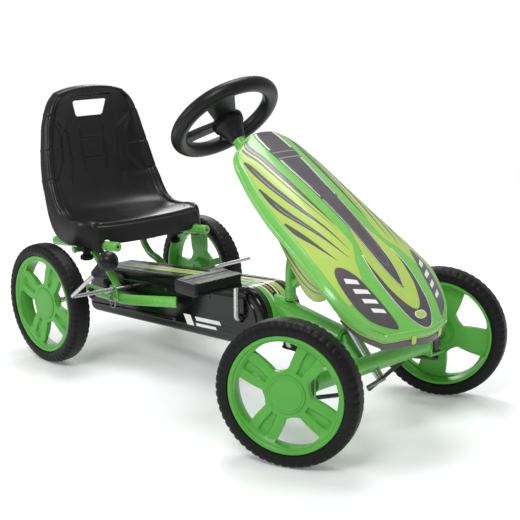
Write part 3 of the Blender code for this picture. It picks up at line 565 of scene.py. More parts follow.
def walled(form: Form, thickness: float) -> Form:
    """Turns an open sheet into a closed wall behind its face.

    Args:
        form: The sheet, which is changed.
        thickness: How thick the wall is.

    Returns:
        The same mesh.
    """
    form.normal_update()
    front = list(form.faces)
    behind = {vert: form.verts.new(vert.co - vert.normal * thickness) for vert in list(form.verts)}
    edges = [edge for edge in form.edges if edge.is_boundary]
    for face in front:
        form.faces.new([behind[vert] for vert in reversed(face.verts)])
    for edge in edges:
        first, second = edge.verts
        form.faces.new((first, second, behind[second], behind[first]))
    bmesh.ops.recalc_face_normals(form, faces=form.faces)
    return form


def facing(form: Form, way: Vector) -> Form:
    """Turns a sheet over if most of it looks the wrong way.

    Args:
        form: The sheet, which is changed.
        way: Where it should look.

    Returns:
        The same mesh.
    """
    form.normal_update()
    if sum(face.normal.dot(way) * face.calc_area() for face in form.faces) < 0:
        bmesh.ops.reverse_faces(form, faces=form.faces)
    return form


def sheet_of(rows: Sequence[Ring]) -> Form:
    """Makes an open sheet from rows of points.

    Args:
        rows: The rows.

    Returns:
        The mesh.
    """
    form = bmesh.new()
    grid = [[form.verts.new(point) for point in row] for row in rows]
    for low, high in zip(grid[:-1], grid[1:]):
        for j in range(len(low) - 1):
            form.faces.new((low[j], high[j], high[j + 1], low[j + 1]))
    return form


def skirted(grid: Sequence[Ring], steps: Outline, leave: Callable[[int, int], tuple[Vector, Vector, float]]) -> Form:
    """Makes an open sheet with a rolled skirt round its edge.

    Args:
        grid: Rows of points.
        steps: The skirt's (outward, downward) distances.
        leave: Gives the outward and downward directions and the depth's share at an edge point.

    Returns:
        The mesh.
    """
    form = sheet_of(grid)
    form.verts.ensure_lookup_table()
    last, end = len(grid) - 1, len(grid[0]) - 1
    rim = ([(0, j) for j in range(end)] + [(i, end) for i in range(last)] + [(last, j) for j in range(end, 0, -1)]
        + [(i, 0) for i in range(last, 0, -1)])
    ways = [leave(i, j) for i, j in rim]
    inner = [form.verts[i * (end + 1) + j] for i, j in rim]
    for out_by, down_by in steps:
        outer = [form.verts.new(grid[i][j] + out * out_by + down * down_by * share)
            for (i, j), (out, down, share) in zip(rim, ways)]
        for k in range(len(rim)):
            m = (k + 1) % len(rim)
            form.faces.new((inner[k], inner[m], outer[m], outer[k]))
        inner = outer
    bmesh.ops.recalc_face_normals(form, faces=form.faces)
    return form


def spline(values: Sequence[Sequence[float]], t: float) -> list[float]:
    """Reads a smooth curve through listed values.

    Args:
        values: The values at 0, 1, 2 and so on.
        t: Where to read it.

    Returns:
        The value there.
    """
    last = len(values) - 1
    t = min(max(t, 0.0), float(last))
    i = min(int(t), last - 1)
    f = t - i
    here, after = values[i], values[i + 1]
    before = values[i - 1] if i else [2 * a - b for a, b in zip(here, after)]
    beyond = values[i + 2] if i + 2 <= last else [2 * b - a for a, b in zip(here, after)]
    return [0.5 * (2 * b + (c - a) * f + (2 * a - 5 * b + 4 * c - d) * f * f + (3 * b - a - 3 * c + d) * f ** 3)
        for a, b, c, d in zip(before, here, after, beyond)]


def smooth_step(value: float) -> float:
    """Eases 0..1 at both ends."""
    value = min(max(value, 0.0), 1.0)
    return value * value * (3.0 - 2.0 * value)


# ---- workshop
@dataclass
class Workshop:
    """Keeps finished pieces: moves them into the frame, paints them and fixes them to their bodies."""

    axle_x: float
    paint: PaintShop = field(default_factory=PaintShop)
    sharp_angle: float = 0.62
    count: int = 0

    def keep(self, name: str, form: Form, finish: Finish, body: str, stands_for: Iterable[str] = (),
            cutters: Sequence[Form] = ()) -> bpy.types.Object:
        """Makes a piece of a mesh drawn from the rear axle.

        Args:
            name: The piece's name.
            form: Its mesh, which is used up.
            finish: Its finish.
            body: The body it rides on.
            stands_for: The frame's nodes that it replaces.
            cutters: Closed meshes cut out of it, which are used up.

        Returns:
            The piece.
        """
        obj = self._object(name, form)
        if cutters:
            helpers = [self._object(f"{name}_cut_{i}", cutter) for i, cutter in enumerate(cutters)]
            for helper in helpers:
                change = obj.modifiers.new("cut", "BOOLEAN")
                change.operation, change.solver, change.object = "DIFFERENCE", "EXACT", helper
            graph = bpy.context.evaluated_depsgraph_get()
            mesh = bpy.data.meshes.new_from_object(obj.evaluated_get(graph))
            obj.modifiers.clear()
            obj.data = mesh
            for helper in helpers:
                bpy.data.objects.remove(helper, do_unlink=True)
        self._shade(obj.data)
        obj.data.materials.clear()
        obj.data.materials.append(self.paint.material(finish))
        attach(obj, body)
        nodes = tuple(stands_for)
        if nodes:
            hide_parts(*nodes)
        self.count += 1
        LOG.info("%-22s on %-18s %6d faces, for %s", name, body, len(obj.data.polygons), ", ".join(nodes) or "-")
        return obj

    def _object(self, name: str, form: Form) -> bpy.types.Object:
        """Turns a mesh into an object in the frame.

        Args:
            name: Its name.
            form: The mesh, which is used up.

        Returns:
            The object.
        """
        bmesh.ops.translate(form, vec=(self.axle_x, 0.0, 0.0), verts=form.verts)
        mesh = bpy.data.meshes.new(name)
        form.to_mesh(mesh)
        form.free()
        obj = bpy.data.objects.new(name, mesh)
        bpy.context.scene.collection.objects.link(obj)
        return obj

    def _shade(self, mesh: bpy.types.Mesh) -> None:
        """Shades a mesh smooth except along its sharp edges.

        Args:
            mesh: The mesh, which is changed.
        """
        form = bmesh.new()
        form.from_mesh(mesh)
        for face in form.faces:
            face.smooth = True
        for edge in form.edges:
            edge.smooth = len(edge.link_faces) == 2 and edge.calc_face_angle(0.0) < self.sharp_angle
        form.to_mesh(mesh)
        form.free()

    def carry_over(self, nodes: dict[str, bpy.types.Object]) -> None:
        """Paints the frame's own nodes that stay in view.

        Args:
            nodes: The frame's nodes by name.
        """
        for finish, names in CARRIED_OVER.items():
            for name in names:
                obj = nodes[name]
                obj.data.materials.clear()
                obj.data.materials.append(self.paint.material(finish))
                LOG.info("%-22s carried over in %s", name, finish.name)


# ---- wheels
@dataclass
class Wheel:
    """One wheel: a spoked rim, its hub cap and a foam tyre."""

    end: str
    side_name: str
    body: str
    phase: float
    radius: float = 0.127
    tyre_half: float = 0.0222
    rim_half: float = 0.0195
    cap_radius: float = 0.0335
    bore: float = 0.0063
    rear_track: float = 0.2106
    kingpin: Vector = field(default_factory=lambda: Vector((0.7197, 0.181, 0.127)))
    offset: float = 0.049
    lock: float = 24.6
    notches: int = 56

    @property
    def side(self) -> int:
        """-1 on the driver's right, 1 on the left."""
        return -1 if self.side_name == "right" else 1

    def build(self, shop: Workshop) -> None:
        """Builds the wheel.

        Args:
            shop: Where the pieces are kept.
        """
        tag = f"{self.end}_{self.side_name}"
        shop.keep(f"foam_tyre_{tag}", self._placed(self._tyre()), FOAM, self.body, (f"tyre_{tag}",))
        shop.keep(f"spoked_rim_{tag}", self._placed(self._rim()), RIM_GREEN, self.body, (f"rim_{tag}",))
        shop.keep(f"cap_{tag}", self._placed(self._cap()), RIM_GREEN, self.body, (f"hub_cap_{tag}",))

    def _placed(self, form: Form) -> Form:
        """Moves a piece made about the origin, outer face towards -y, to this wheel's place.

        Args:
            form: The mesh, which is changed.

        Returns:
            The same mesh.
        """
        if self.side > 0:
            mirrored(form)
        if self.end == "rear":
            bmesh.ops.translate(form, vec=(0.0, self.side * self.rear_track, self.radius), verts=form.verts)
            return form
        pin = Vector((self.kingpin.x, self.side * self.kingpin.y, self.radius))
        bmesh.ops.translate(form, vec=pin + Vector((0.0, self.side * self.offset, 0.0)), verts=form.verts)
        turn = Matrix.Rotation(math.radians(self.lock), 3, "Z")
        bmesh.ops.rotate(form, cent=pin, matrix=turn, verts=form.verts)
        return form

    def _tyre(self) -> Form:
        """Models the tyre, with a groove on each shoulder and short ribs across them.

        Returns:
            The mesh.
        """
        half = [(0.0161, 0.1), (0.0163, 0.1028), (0.0185, 0.1033), (0.0205, 0.1043), (0.0217, 0.1075),
            (0.0222, 0.1115), (0.022, 0.115), (0.0213, 0.1185), (0.0203, 0.121), (0.019, 0.123), (0.0178, 0.1243),
            (0.0168, 0.1249), (0.0161, 0.1243), (0.0153, 0.1243), (0.0145, 0.1256), (0.012, 0.1263),
            (0.0085, 0.1268), (0.0045, 0.127), (0.0, 0.127)]
        profile = half + [(-y, r) for y, r in reversed(half[:-1])]
        steps = self.notches * 6
        rings: list[Ring] = []
        for k in range(steps):
            angle = TAU * k / steps
            beat = (k % 6) / 6.0
            notch = 1.0 - smooth_step(abs(beat - 0.42) / 0.24)
            ring = []
            for y, r in profile:
                shoulder = smooth_step((r - 0.115) / 0.006) * smooth_step((abs(y) - 0.0105) / 0.0035)
                wall = smooth_step((abs(y) - 0.0205) / 0.0012) * smooth_step((r - 0.1085) / 0.004)
                reach = r - 0.0022 * notch * shoulder
                ring.append(Vector((reach * math.cos(angle), y - math.copysign(0.0006 * notch * wall, y),
                    reach * math.sin(angle))))
            rings.append(ring)
        return skin(rings, wrap=True)

    def _web_height(self, r: float, s: float) -> float:
        """Gives how far out the spoke web's face stands.

        Args:
            r: Radius.
            s: Place across the spoke, 0 to 1.

        Returns:
            The face's y, negative outwards.
        """
        ring = smooth_step((r - 0.084) / 0.009)
        base = -0.0105 - 0.0052 * ring
        ends = smooth_step((r - 0.041) / 0.002) * (1.0 - smooth_step((r - 0.0835) / 0.003))
        middle = 1.0 - smooth_step((abs(s - 0.5) - (0.09 + 1.4 * max(0.0, r - 0.041))) / 0.045)
        edge = smooth_step(abs(s - 0.5) / 0.5)
        return base + 0.0052 * middle * ends + 0.0014 * edge ** 6 * ends

    def _rim(self) -> Form:
        """Models the rim: a web of four double spokes, a deep barrel and a hub.

        Returns:
            The mesh.
        """
        inner, outer = 0.04, 0.0925

        def spread(r: float) -> float:
            """Half angle of a window at a radius."""
            t = (r - inner) / (outer - inner)
            if t <= 0.0 or t >= 1.0:
                return 0.0
            round_off = min(1.0, t / 0.07) ** 0.5 * min(1.0, (1.0 - t) / 0.07) ** 0.5
            return math.radians(15.5 + 12.5 * t ** 0.75) * round_off

        radii = [0.023, 0.03, 0.034, 0.0372, 0.04, 0.0404, 0.0412, 0.0424, 0.0445, 0.048, 0.0525, 0.058, 0.064,
            0.07, 0.076, 0.081, 0.083, 0.0845, 0.086, 0.0885, 0.0905, 0.0918, 0.0925, 0.0945]
        spoke_steps, gap_steps = 22, 12
        form = bmesh.new()
        grid: list[list[bmesh.types.BMVert]] = []
        columns = 4 * (spoke_steps + gap_steps)
        for r in radii:
            row = []
            for quarter in range(4):
                middle = math.radians(90.0 * quarter + self.phase)
                half = spread(r) if inner < r < outer else math.radians(15.5 if r <= inner else 28.0) * 0.35
                for i in range(gap_steps):
                    angle = middle - half + 2.0 * half * i / gap_steps
                    row.append(form.verts.new(self._web_point(r, angle, 0.0)))
                span = math.radians(90.0) - 2.0 * half
                for i in range(spoke_steps):
                    s = i / spoke_steps
                    row.append(form.verts.new(self._web_point(r, middle + half + span * s, s)))
            grid.append(row)
        for i, (low, high) in enumerate(zip(grid[:-1], grid[1:])):
            open_here = radii[i] >= inner and radii[i + 1] <= outer
            for j in range(columns):
                if open_here and j % (spoke_steps + gap_steps) < gap_steps:
                    continue
                k = (j + 1) % columns
                form.faces.new((low[j], low[k], high[k], high[j]))
        self._thicken(form)
        barrel = [(-0.0158, 0.0938), (-0.0172, 0.0948), (-0.0186, 0.0962), (-0.0193, 0.098), (-0.0195, 0.1),
            (-0.0193, 0.1016), (-0.0186, 0.1024), (-0.0168, 0.1024), (-0.0162, 0.1014), (-0.016, 0.0997),
            (0.016, 0.0997), (0.0162, 0.1014), (0.0168, 0.1024), (0.0186, 0.1024), (0.0194, 0.1016),
            (0.0195, 0.099), (0.0188, 0.0972), (0.0165, 0.0962), (0.004, 0.0936), (-0.003, 0.093)]
        turned(barrel, (0, 0, 0), Y_AXIS, 144, closed=True, form=form)
        hub = [(-0.0087, self.bore), (-0.0087, 0.027), (-0.001, 0.029), (0.002, 0.0275), (0.008, 0.0245),
            (0.0155, 0.0225), (0.0168, 0.0214), (0.017, 0.02), (0.017, 0.012), (0.015, 0.011), (0.015, self.bore)]
        return turned(hub, (0, 0, 0), Y_AXIS, 48, closed=True, form=form)

    def _web_point(self, r: float, angle: float, s: float) -> Vector:
        """Gives a point of the web's face."""
        return Vector((r * math.cos(angle), self._web_height(r, s), r * math.sin(angle)))

    @staticmethod
    def _thicken(form: Form) -> None:
        """Gives the web its back, nearer the axle, and the walls of its windows.

        Args:
            form: The web's face, which is changed.
        """
        front = list(form.faces)
        edges = [edge for edge in form.edges if edge.is_boundary]
        loose = [vert for vert in form.verts if not vert.link_faces]
        bmesh.ops.delete(form, geom=loose, context="VERTS")
        behind = {}
        for vert in list(form.verts):
            r = math.hypot(vert.co.x, vert.co.z)
            behind[vert] = form.verts.new((vert.co.x, 0.0018 - 0.004 * smooth_step((r - 0.05) / 0.04), vert.co.z))
        for face in front:
            form.faces.new([behind[vert] for vert in reversed(face.verts)])
        for edge in edges:
            first, second = edge.verts
            form.faces.new((first, second, behind[second], behind[first]))
        bmesh.ops.recalc_face_normals(form, faces=form.faces)

    def _cap(self) -> Form:
        """Models the flat round cap with its groove."""
        r = self.cap_radius
        profile = [(-0.01285, 0.0008), (-0.01285, 0.027), (-0.0128, r - 0.0052), (-0.0123, r - 0.0048),
            (-0.0123, r - 0.0042), (-0.0128, r - 0.0038), (-0.0127, r - 0.0014), (-0.0121, r - 0.0004),
            (-0.0112, r), (-0.0094, r)]
        return turned(profile, (0, 0, 0), Y_AXIS, 96)


# ---- seat
@dataclass
class Seat:
    """The bucket seat, moulded in one piece, and its two clamping knobs."""

    rail_y: float = 0.12
    rail_base: float = 0.241
    rail_rise: float = 0.1
    rail_r: float = 0.0125
    clamp_x: float = 0.014
    wall: float = 0.0035
    skirt_drop: float = 0.45
    stations: tuple[tuple[float, ...], ...] = ((0.084, 0.288, 0.077, 0.133, 0.291, 0.1, -1.0, 1.05),
        (0.077, 0.2945, 0.069, 0.142, 0.2985, 0.0, -1.0, 1.0), (0.04, 0.295, 0.042, 0.152, 0.3, 0.0, -1.0, 1.0),
        (0.0, 0.29, 0.008, 0.151, 0.2965, 0.0, -1.0, 1.0), (-0.035, 0.288, -0.018, 0.148, 0.3, -0.2, -1.0, 1.0),
        (-0.068, 0.298, -0.036, 0.145, 0.309, -0.5, -0.9, 1.0), (-0.092, 0.323, -0.051, 0.144, 0.326, -0.8,
        -0.7, 0.95), (-0.107, 0.358, -0.064, 0.142, 0.35, -1.0, -0.4, 0.9), (-0.117, 0.398, -0.077, 0.138, 0.38,
        -1.0, -0.2, 0.85), (-0.123, 0.438, -0.088, 0.133, 0.414, -1.0, -0.1, 0.78),
        (-0.127, 0.476, -0.099, 0.125, 0.454, -1.0, -0.1, 0.7), (-0.128, 0.508, -0.1065, 0.117, 0.488, -1.0,
        0.0, 0.66), (-0.125, 0.539, -0.113, 0.102, 0.525, -1.0, 0.0, 0.6), (-0.118, 0.5545, -0.119, 0.084, 0.543,
        -1.0, 0.0, 0.5))
    rings: tuple[tuple[float, float], ...] = ((0.002, 0.0004), (0.0038, 0.0018), (0.0054, 0.0045),
        (0.0066, 0.0085), (0.0073, 0.014), (0.0078, 0.023), (0.008, 0.035), (0.008, 0.036))
    panels: tuple[tuple[tuple[float, float], ...], ...] = (((0.118, 0.512), (0.066, 0.462), (0.062, 0.395),
        (0.07, 0.352)), ((0.106, 0.498), (0.086, 0.456), (0.088, 0.4), (0.118, 0.362), (0.14, 0.372)),
        ((0.087, 0.428), (0.133, 0.432)), ((0.03, 0.47), (0.03, 0.372)), ((0.0, 0.446), (0.03, 0.446)),
        ((0.0, 0.402), (0.03, 0.402)))

    def build(self, shop: Workshop) -> None:
        """Builds the seat.

        Args:
            shop: Where the pieces are kept.
        """
        cutters = [self._handle_cutter()]
        for sign in (-1, 1):
            ends = [(x, sign * self.rail_y, self.rail_z(x)) for x in (-0.17, 0.18)]
            cutters.append(bar(ends, self.rail_r, 32))
        cutters.append(turned([(-0.02, 0.0042), (0.02, 0.0042)], (0.055, 0.118, 0.298), Z_AXIS, 24))
        shop.keep("bucket_seat", self._shell(), SEAT_BLACK, "seat", ("seat_shell",), cutters)
        screw = turned([(0.0, 0.0034), (0.0016, 0.0034), (0.0022, 0.0028), (0.0016, 0.0012), (0.001, 0.0008)],
            (0.055, 0.118, 0.2905), Z_AXIS, 24)
        shop.keep("seat_screw", screw, STEEL, "seat")
        for sign, name in ((-1, "right"), (1, "left")):
            shop.keep(f"star_knob_{name}", self._knob(sign), MOULDED_BLACK, f"seat_knob_{name}",
                (f"seat_knob_{name}",))

    def rail_z(self, x: float) -> float:
        """Height of the seat rails' middle."""
        return self.rail_base + self.rail_rise * x

    def _surface(self, u: float, v: float) -> Vector:
        """Gives a point of the seat's upper face.

        Args:
            u: Station, 0 at the front lip.
            v: -1 to 1 across.

        Returns:
            The point.
        """
        xc, zc, xe, ye, ze = spline(self.stations, u)[:5]
        lift = abs(v) ** 2.6
        bead = 0.0022 * math.exp(-((abs(v) - 0.955) / 0.022) ** 2)
        dip = 0.002 * math.exp(-((abs(v) - 0.895) / 0.022) ** 2)
        point = Vector((xc + (xe - xc) * lift, ye * v, zc + (ze - zc) * lift))
        face = Vector((0.35 + 0.65 * smooth_step((u - 3.0) / 4.0), 0.0, 1.0 - 0.75 * smooth_step((u - 3.0) / 4.0)))
        return point + face.normalized() * (bead - dip) * smooth_step(u / 1.5) * smooth_step((13.0 - u) / 0.8)

    def _groove(self, point: Vector) -> float:
        """Gives how deep the moulded panel lines are at a point of the back.

        Args:
            point: The point.

        Returns:
            The depth.
        """
        if point.x > -0.045:
            return 0.0
        near = 1.0
        y, z = abs(point.y), point.z
        for line in self.panels:
            for (y0, z0), (y1, z1) in zip(line[:-1], line[1:]):
                along = Vector((y1 - y0, z1 - z0))
                t = min(max(((y - y0) * along.x + (z - z0) * along.y) / along.length_squared, 0.0), 1.0)
                near = min(near, math.hypot(y - y0 - along.x * t, z - z0 - along.y * t))
        depth = 0.0019 * math.exp(-(near / 0.002) ** 2)
        inner = smooth_step((y - 0.062) / 0.01) * smooth_step((z - 0.352) / 0.012) * smooth_step((0.5 - z) / 0.03)
        lip = max(abs(point.y) - 0.05, abs(z - 0.5125) - 0.0245)
        return depth + 0.0012 * inner + 0.0024 * (1.0 - smooth_step((lip - 0.002) / 0.0035))

    def _shell(self) -> Form:
        """Models the shell with its rolled skirt.

        Returns:
            The mesh.
        """
        across_v = sorted({round(x / 90.0, 5) for x in range(-90, 91)})
        rows_u = [5.0 * i / 40.0 for i in range(40)] + [5.0 + 8.0 * i / 190.0 for i in range(191)]
        grid = [[self._surface(u, v) for v in across_v] for u in rows_u]
        for row, u in zip(grid, rows_u):
            for point in row:
                if u > 5.5:
                    point.x -= self._groove(point)

        def leave(i: int, j: int) -> tuple[Vector, Vector, float]:
            """Gives the skirt's directions and share at a point of the edge."""
            station, side, at_side = spline(self.stations, rows_u[i]), across_v[j], j in (0, len(across_v) - 1)
            front = max(0.0, 1.0 - rows_u[i] / 0.9) if at_side else float(i == 0)
            top = max(0.0, 1.0 - (13.0 - rows_u[i]) / 0.9) if at_side else float(i == len(rows_u) - 1)
            out = Vector((0.0, side, 0.0)) if at_side else Vector((0.0, 0.0, 0.0))
            out += Vector((1.0, 0.35 * side, 0.0)) * front + Vector((0.0, 0.6 * side, 1.0)) * top
            deep = 1.0 + self.skirt_drop * smooth_step((abs(side) - 0.8) / 0.06) * (1.0
                - smooth_step((rows_u[i] - 4.5) / 2.5))
            return out.normalized(), Vector((station[5], 0.0, station[6])).normalized(), station[7] * deep

        form = facing(skirted(grid, self.rings, leave), Vector((1.0, 0.0, 1.0)))
        return walled(form, self.wall)

    @staticmethod
    def _handle_cutter() -> Form:
        """Makes the rounded opening of the carrying handle."""
        outline = [(-0.046, 0.53), (0.046, 0.53), (0.036, 0.4945), (-0.036, 0.4945)]
        form = skin([[Vector((t, a, b)) for a, b in outline] for t in (-0.18, -0.09)])
        along = [edge for edge in form.edges if abs(edge.verts[0].co.x - edge.verts[1].co.x) > 0.05]
        bmesh.ops.bevel(form, geom=along, offset=0.006, segments=5, profile=0.5, affect="EDGES")
        return form

    def _knob(self, sign: int) -> Form:
        """Models a star-shaped clamping knob with its stud.

        Args:
            sign: -1 on the driver's right, 1 on the left.

        Returns:
            The mesh.
        """
        profile = [(0.0, 0.0095), (0.0006, 0.012), (0.0025, 0.014), (0.0085, 0.014), (0.011, 0.0125),
            (0.0125, 0.0095), (0.015, 0.0082), (0.018, 0.0078), (0.0207, 0.0074), (0.0208, 0.004), (0.021, 0.0029),
            (0.0245, 0.0029)]
        centre = Vector((self.clamp_x, sign * self.rail_y, self.rail_z(self.clamp_x) - 0.0355))
        rings = []
        for along, radius in profile:
            lobes = 0.06 if radius > 0.0088 else 0.0
            rings.append([centre + Vector((radius * (1 - lobes + lobes * math.cos(6 * TAU * k / 72))
                * math.cos(TAU * k / 72), radius * (1 - lobes + lobes * math.cos(6 * TAU * k / 72))
                * math.sin(TAU * k / 72), along)) for k in range(72)])
        return skin(rings)


# ---- bonnet
@dataclass(frozen=True)
class Band:
    """A printed band on the bonnet: (station, inner, outer) stops, on one side or on both."""

    stops: tuple[tuple[float, float, float], ...]
    layer: int
    middle: bool = False
    steps: int = 40
    wide: int = 8


@dataclass
class Bonnet:
    """The bonnet fairing with its printed bands, lower wings and nose strip."""

    stations: tuple[tuple[float, ...], ...] = ((0.44, 0.509, 0.445, 0.056, 0.493),
        (0.456, 0.5, 0.453, 0.08, 0.477), (0.476, 0.489, 0.468, 0.0925, 0.461), (0.5, 0.4755, 0.49, 0.101, 0.444),
        (0.548, 0.4475, 0.5325, 0.112, 0.4105), (0.607, 0.412, 0.5875, 0.121, 0.372),
        (0.665, 0.374, 0.644, 0.1265, 0.3385), (0.722, 0.332, 0.7, 0.132, 0.305),
        (0.762, 0.299, 0.74, 0.134, 0.279), (0.796, 0.268, 0.7705, 0.1265, 0.253),
        (0.826, 0.239, 0.797, 0.11, 0.23), (0.848, 0.215, 0.819, 0.08, 0.213))
    hump: float = 0.004
    crown: float = 2.8
    wall: float = 0.0028
    band_top: float = 0.0137
    down: Vector = field(default_factory=lambda: Vector((-0.45, 0.0, -0.9)).normalized())
    rings: tuple[tuple[float, float], ...] = ((0.0012, 0.0002), (0.0024, 0.001), (0.0035, 0.0026),
        (0.0042, 0.0048), (0.0045, 0.007), (0.0042, 0.0095), (0.0036, 0.0118), (0.003, 0.013))

    LIME_BANDS = (Band(((0.28, 0.735, 0.765), (0.6, 0.7, 0.84), (1.2, 0.65, 0.88), (2.9, 0.51, 0.895),
        (4.1, 0.42, 0.9), (5.7, 0.34, 0.9), (6.6, 0.3, 0.9), (6.9, 0.34, 0.9), (7.3, 0.44, 0.9),
        (8.1, 0.55, 0.905), (8.6, 0.74, 0.912), (8.9, 0.88, 0.915)), 1, steps=90, wide=18),
        Band(((6.3, 0.0, 0.15), (6.8, 0.0, 0.225), (7.4, 0.0, 0.285), (8.1, 0.0, 0.27), (8.8, 0.0, 0.24),
        (9.4, 0.0, 0.165), (9.75, 0.0, 0.085), (9.88, 0.0, 0.004)), 3, middle=True, steps=60, wide=16),
        Band(((9.98, 0.0, 0.02), (10.02, 0.0, 0.075), (10.12, 0.0, 0.11), (10.22, 0.0, 0.115), (10.32, 0.0, 0.085),
        (10.38, 0.0, 0.02)), 4, middle=True, steps=16, wide=8),)
    GREY_BANDS = (Band(((0.02, 0.0, 0.46), (0.6, 0.0, 0.405), (1.2, 0.0, 0.355), (2.0, 0.0, 0.325),
        (2.8, 0.0, 0.3), (3.8, 0.0, 0.245), (4.8, 0.0, 0.185), (5.9, 0.0, 0.148), (7.0, 0.0, 0.13),
        (7.8, 0.0, 0.11), (8.3, 0.0, 0.075), (8.65, 0.0, 0.035), (8.85, 0.0, 0.002)), 4, middle=True, steps=90,
        wide=14), Band(((7.25, 0.0, 0.283), (7.7, 0.0, 0.31), (8.3, 0.0, 0.325), (9.0, 0.0, 0.318),
        (9.7, 0.0, 0.3), (10.3, 0.0, 0.255), (10.7, 0.0, 0.185), (10.9, 0.0, 0.11), (10.97, 0.0, 0.02)), 2,
        middle=True, steps=60, wide=20), Band(((7.3, 0.715, 0.745), (7.42, 0.665, 0.785), (7.7, 0.61, 0.815),
        (8.1, 0.565, 0.835), (9.0, 0.53, 0.86), (9.8, 0.535, 0.86), (10.25, 0.56, 0.825), (10.6, 0.61, 0.765),
        (10.78, 0.67, 0.7)), 3, steps=50, wide=12),
        Band(((0.45, 0.69, 0.8), (1.5, 0.605, 0.74), (3.1, 0.475, 0.58), (4.2, 0.405, 0.48), (5.3, 0.35, 0.385),
        (6.1, 0.325, 0.326)), 2, steps=60, wide=6),
        Band(((1.2, 0.8, 0.85), (2.2, 0.7, 0.755), (3.3, 0.598, 0.635), (4.5, 0.495, 0.515), (6.3, 0.345, 0.346)),
        2, steps=50, wide=3), Band(((2.45, 0.85, 0.885), (3.2, 0.765, 0.85), (4.2, 0.665, 0.75), (5.2, 0.56, 0.62),
        (6.1, 0.465, 0.492), (6.9, 0.405, 0.406)), 2, steps=50, wide=5),
        Band(((3.95, 0.865, 0.89), (4.7, 0.785, 0.86), (5.5, 0.69, 0.755), (6.4, 0.575, 0.608),
        (7.15, 0.495, 0.496)), 2, steps=40, wide=5),
        Band(((5.3, 0.865, 0.89), (5.8, 0.8, 0.865), (6.4, 0.73, 0.77), (7.1, 0.65, 0.651)), 2, steps=30, wide=4),)
    SILVER_BANDS = (Band(((0.75, 0.735, 0.757), (1.6, 0.665, 0.69), (3.1, 0.53, 0.545), (4.4, 0.436, 0.442),
        (5.0, 0.395, 0.396)), 3, steps=50, wide=3),
        Band(((3.1, 0.812, 0.818), (3.6, 0.77, 0.784), (4.3, 0.7, 0.716), (5.2, 0.588, 0.597),
        (5.9, 0.505, 0.506)), 3, steps=40, wide=3),
        Band(((4.6, 0.824, 0.83), (5.0, 0.79, 0.802), (5.6, 0.706, 0.718), (6.3, 0.602, 0.603)), 3, steps=30,
        wide=3), Band(((5.2, 0.12, 0.126), (5.9, 0.106, 0.112), (6.8, 0.088, 0.094), (7.4, 0.06, 0.067),
        (7.75, 0.02, 0.028), (7.82, 0.0, 0.006)), 5, steps=50, wide=2),
        Band(((2.84, 0.0, 0.292), (2.91, 0.0, 0.289)), 5, middle=True, steps=2, wide=14),
        Band(((3.24, 0.0, 0.27), (3.3, 0.0, 0.267)), 5, middle=True, steps=2, wide=14),)
    WHITE_BANDS = (Band(((0.1, 0.34, 0.44), (0.6, 0.315, 0.392), (1.3, 0.285, 0.338), (2.0, 0.275, 0.316),
        (2.55, 0.262, 0.298)), 5, steps=30, wide=4),
        Band(((3.35, 0.238, 0.262), (3.8, 0.22, 0.24), (4.8, 0.162, 0.176), (5.05, 0.152, 0.165)), 5, steps=24,
        wide=2), Band(((3.35, 0.218, 0.226), (3.8, 0.2, 0.207), (4.7, 0.148, 0.154)), 5, steps=24, wide=2),
        Band(((5.15, 0.152, 0.163), (5.9, 0.132, 0.141), (7.0, 0.115, 0.123), (7.8, 0.096, 0.104),
        (8.3, 0.062, 0.069), (8.6, 0.03, 0.036), (8.76, 0.004, 0.01)), 5, steps=60, wide=2),
        Band(((7.18, 0.0, 0.292), (7.7, 0.0, 0.321), (8.3, 0.0, 0.336), (9.0, 0.0, 0.329), (9.7, 0.0, 0.311),
        (10.3, 0.0, 0.266), (10.73, 0.0, 0.194), (10.94, 0.0, 0.115), (10.995, 0.0, 0.03)), 1, middle=True,
        steps=60, wide=20), Band(((9.95, 0.0, 0.03), (9.99, 0.0, 0.088), (10.12, 0.0, 0.125), (10.23, 0.0, 0.13),
        (10.35, 0.0, 0.098), (10.41, 0.0, 0.03)), 3, middle=True, steps=16, wide=8),)
    LAMPS = (((7.8, 0.74), (8.08, 0.61), (8.28, 0.615), (8.02, 0.755)), ((8.32, 0.73), (8.6, 0.575), (8.8, 0.575),
        (8.55, 0.74)), ((8.84, 0.72), (9.1, 0.57), (9.3, 0.575), (9.06, 0.73)),
        ((9.36, 0.715), (9.6, 0.575), (9.8, 0.58), (9.58, 0.725)))

    def build(self, shop: Workshop) -> None:
        """Builds the bonnet.

        Args:
            shop: Where the pieces are kept.
        """
        shop.keep("bonnet_shell", self._shell(), BRIGHT_GREEN, "chassis", ("fairing",))
        shop.keep("bonnet_lime", self._bands(self.LIME_BANDS), LIME, "chassis")
        shop.keep("bonnet_grey", self._bands(self.GREY_BANDS), PRINT_GREY, "chassis")
        shop.keep("bonnet_silver", self._bands(self.SILVER_BANDS), PRINT_SILVER, "chassis")
        shop.keep("bonnet_white", self._lamps(self._bands(self.WHITE_BANDS)), PRINT_WHITE, "chassis")
        shop.keep("nose_strip", self._nose_strip(0.0024, True), PRINT_GREY, "chassis", ("nose_band",))
        shop.keep("nose_line", self._nose_strip(0.0, False), LIME, "chassis")
        shop.keep("nose_studs", self._studs(), LIME, "chassis")
        for sign, name in ((-1, "right"), (1, "left")):
            shop.keep(f"wing_panel_{name}", self._wing(sign), LIME, "chassis", (f"fairing_wing_{name}",))
            shop.keep(f"wing_streaks_{name}", self._wing_streaks(sign), PRINT_GREY, "chassis")

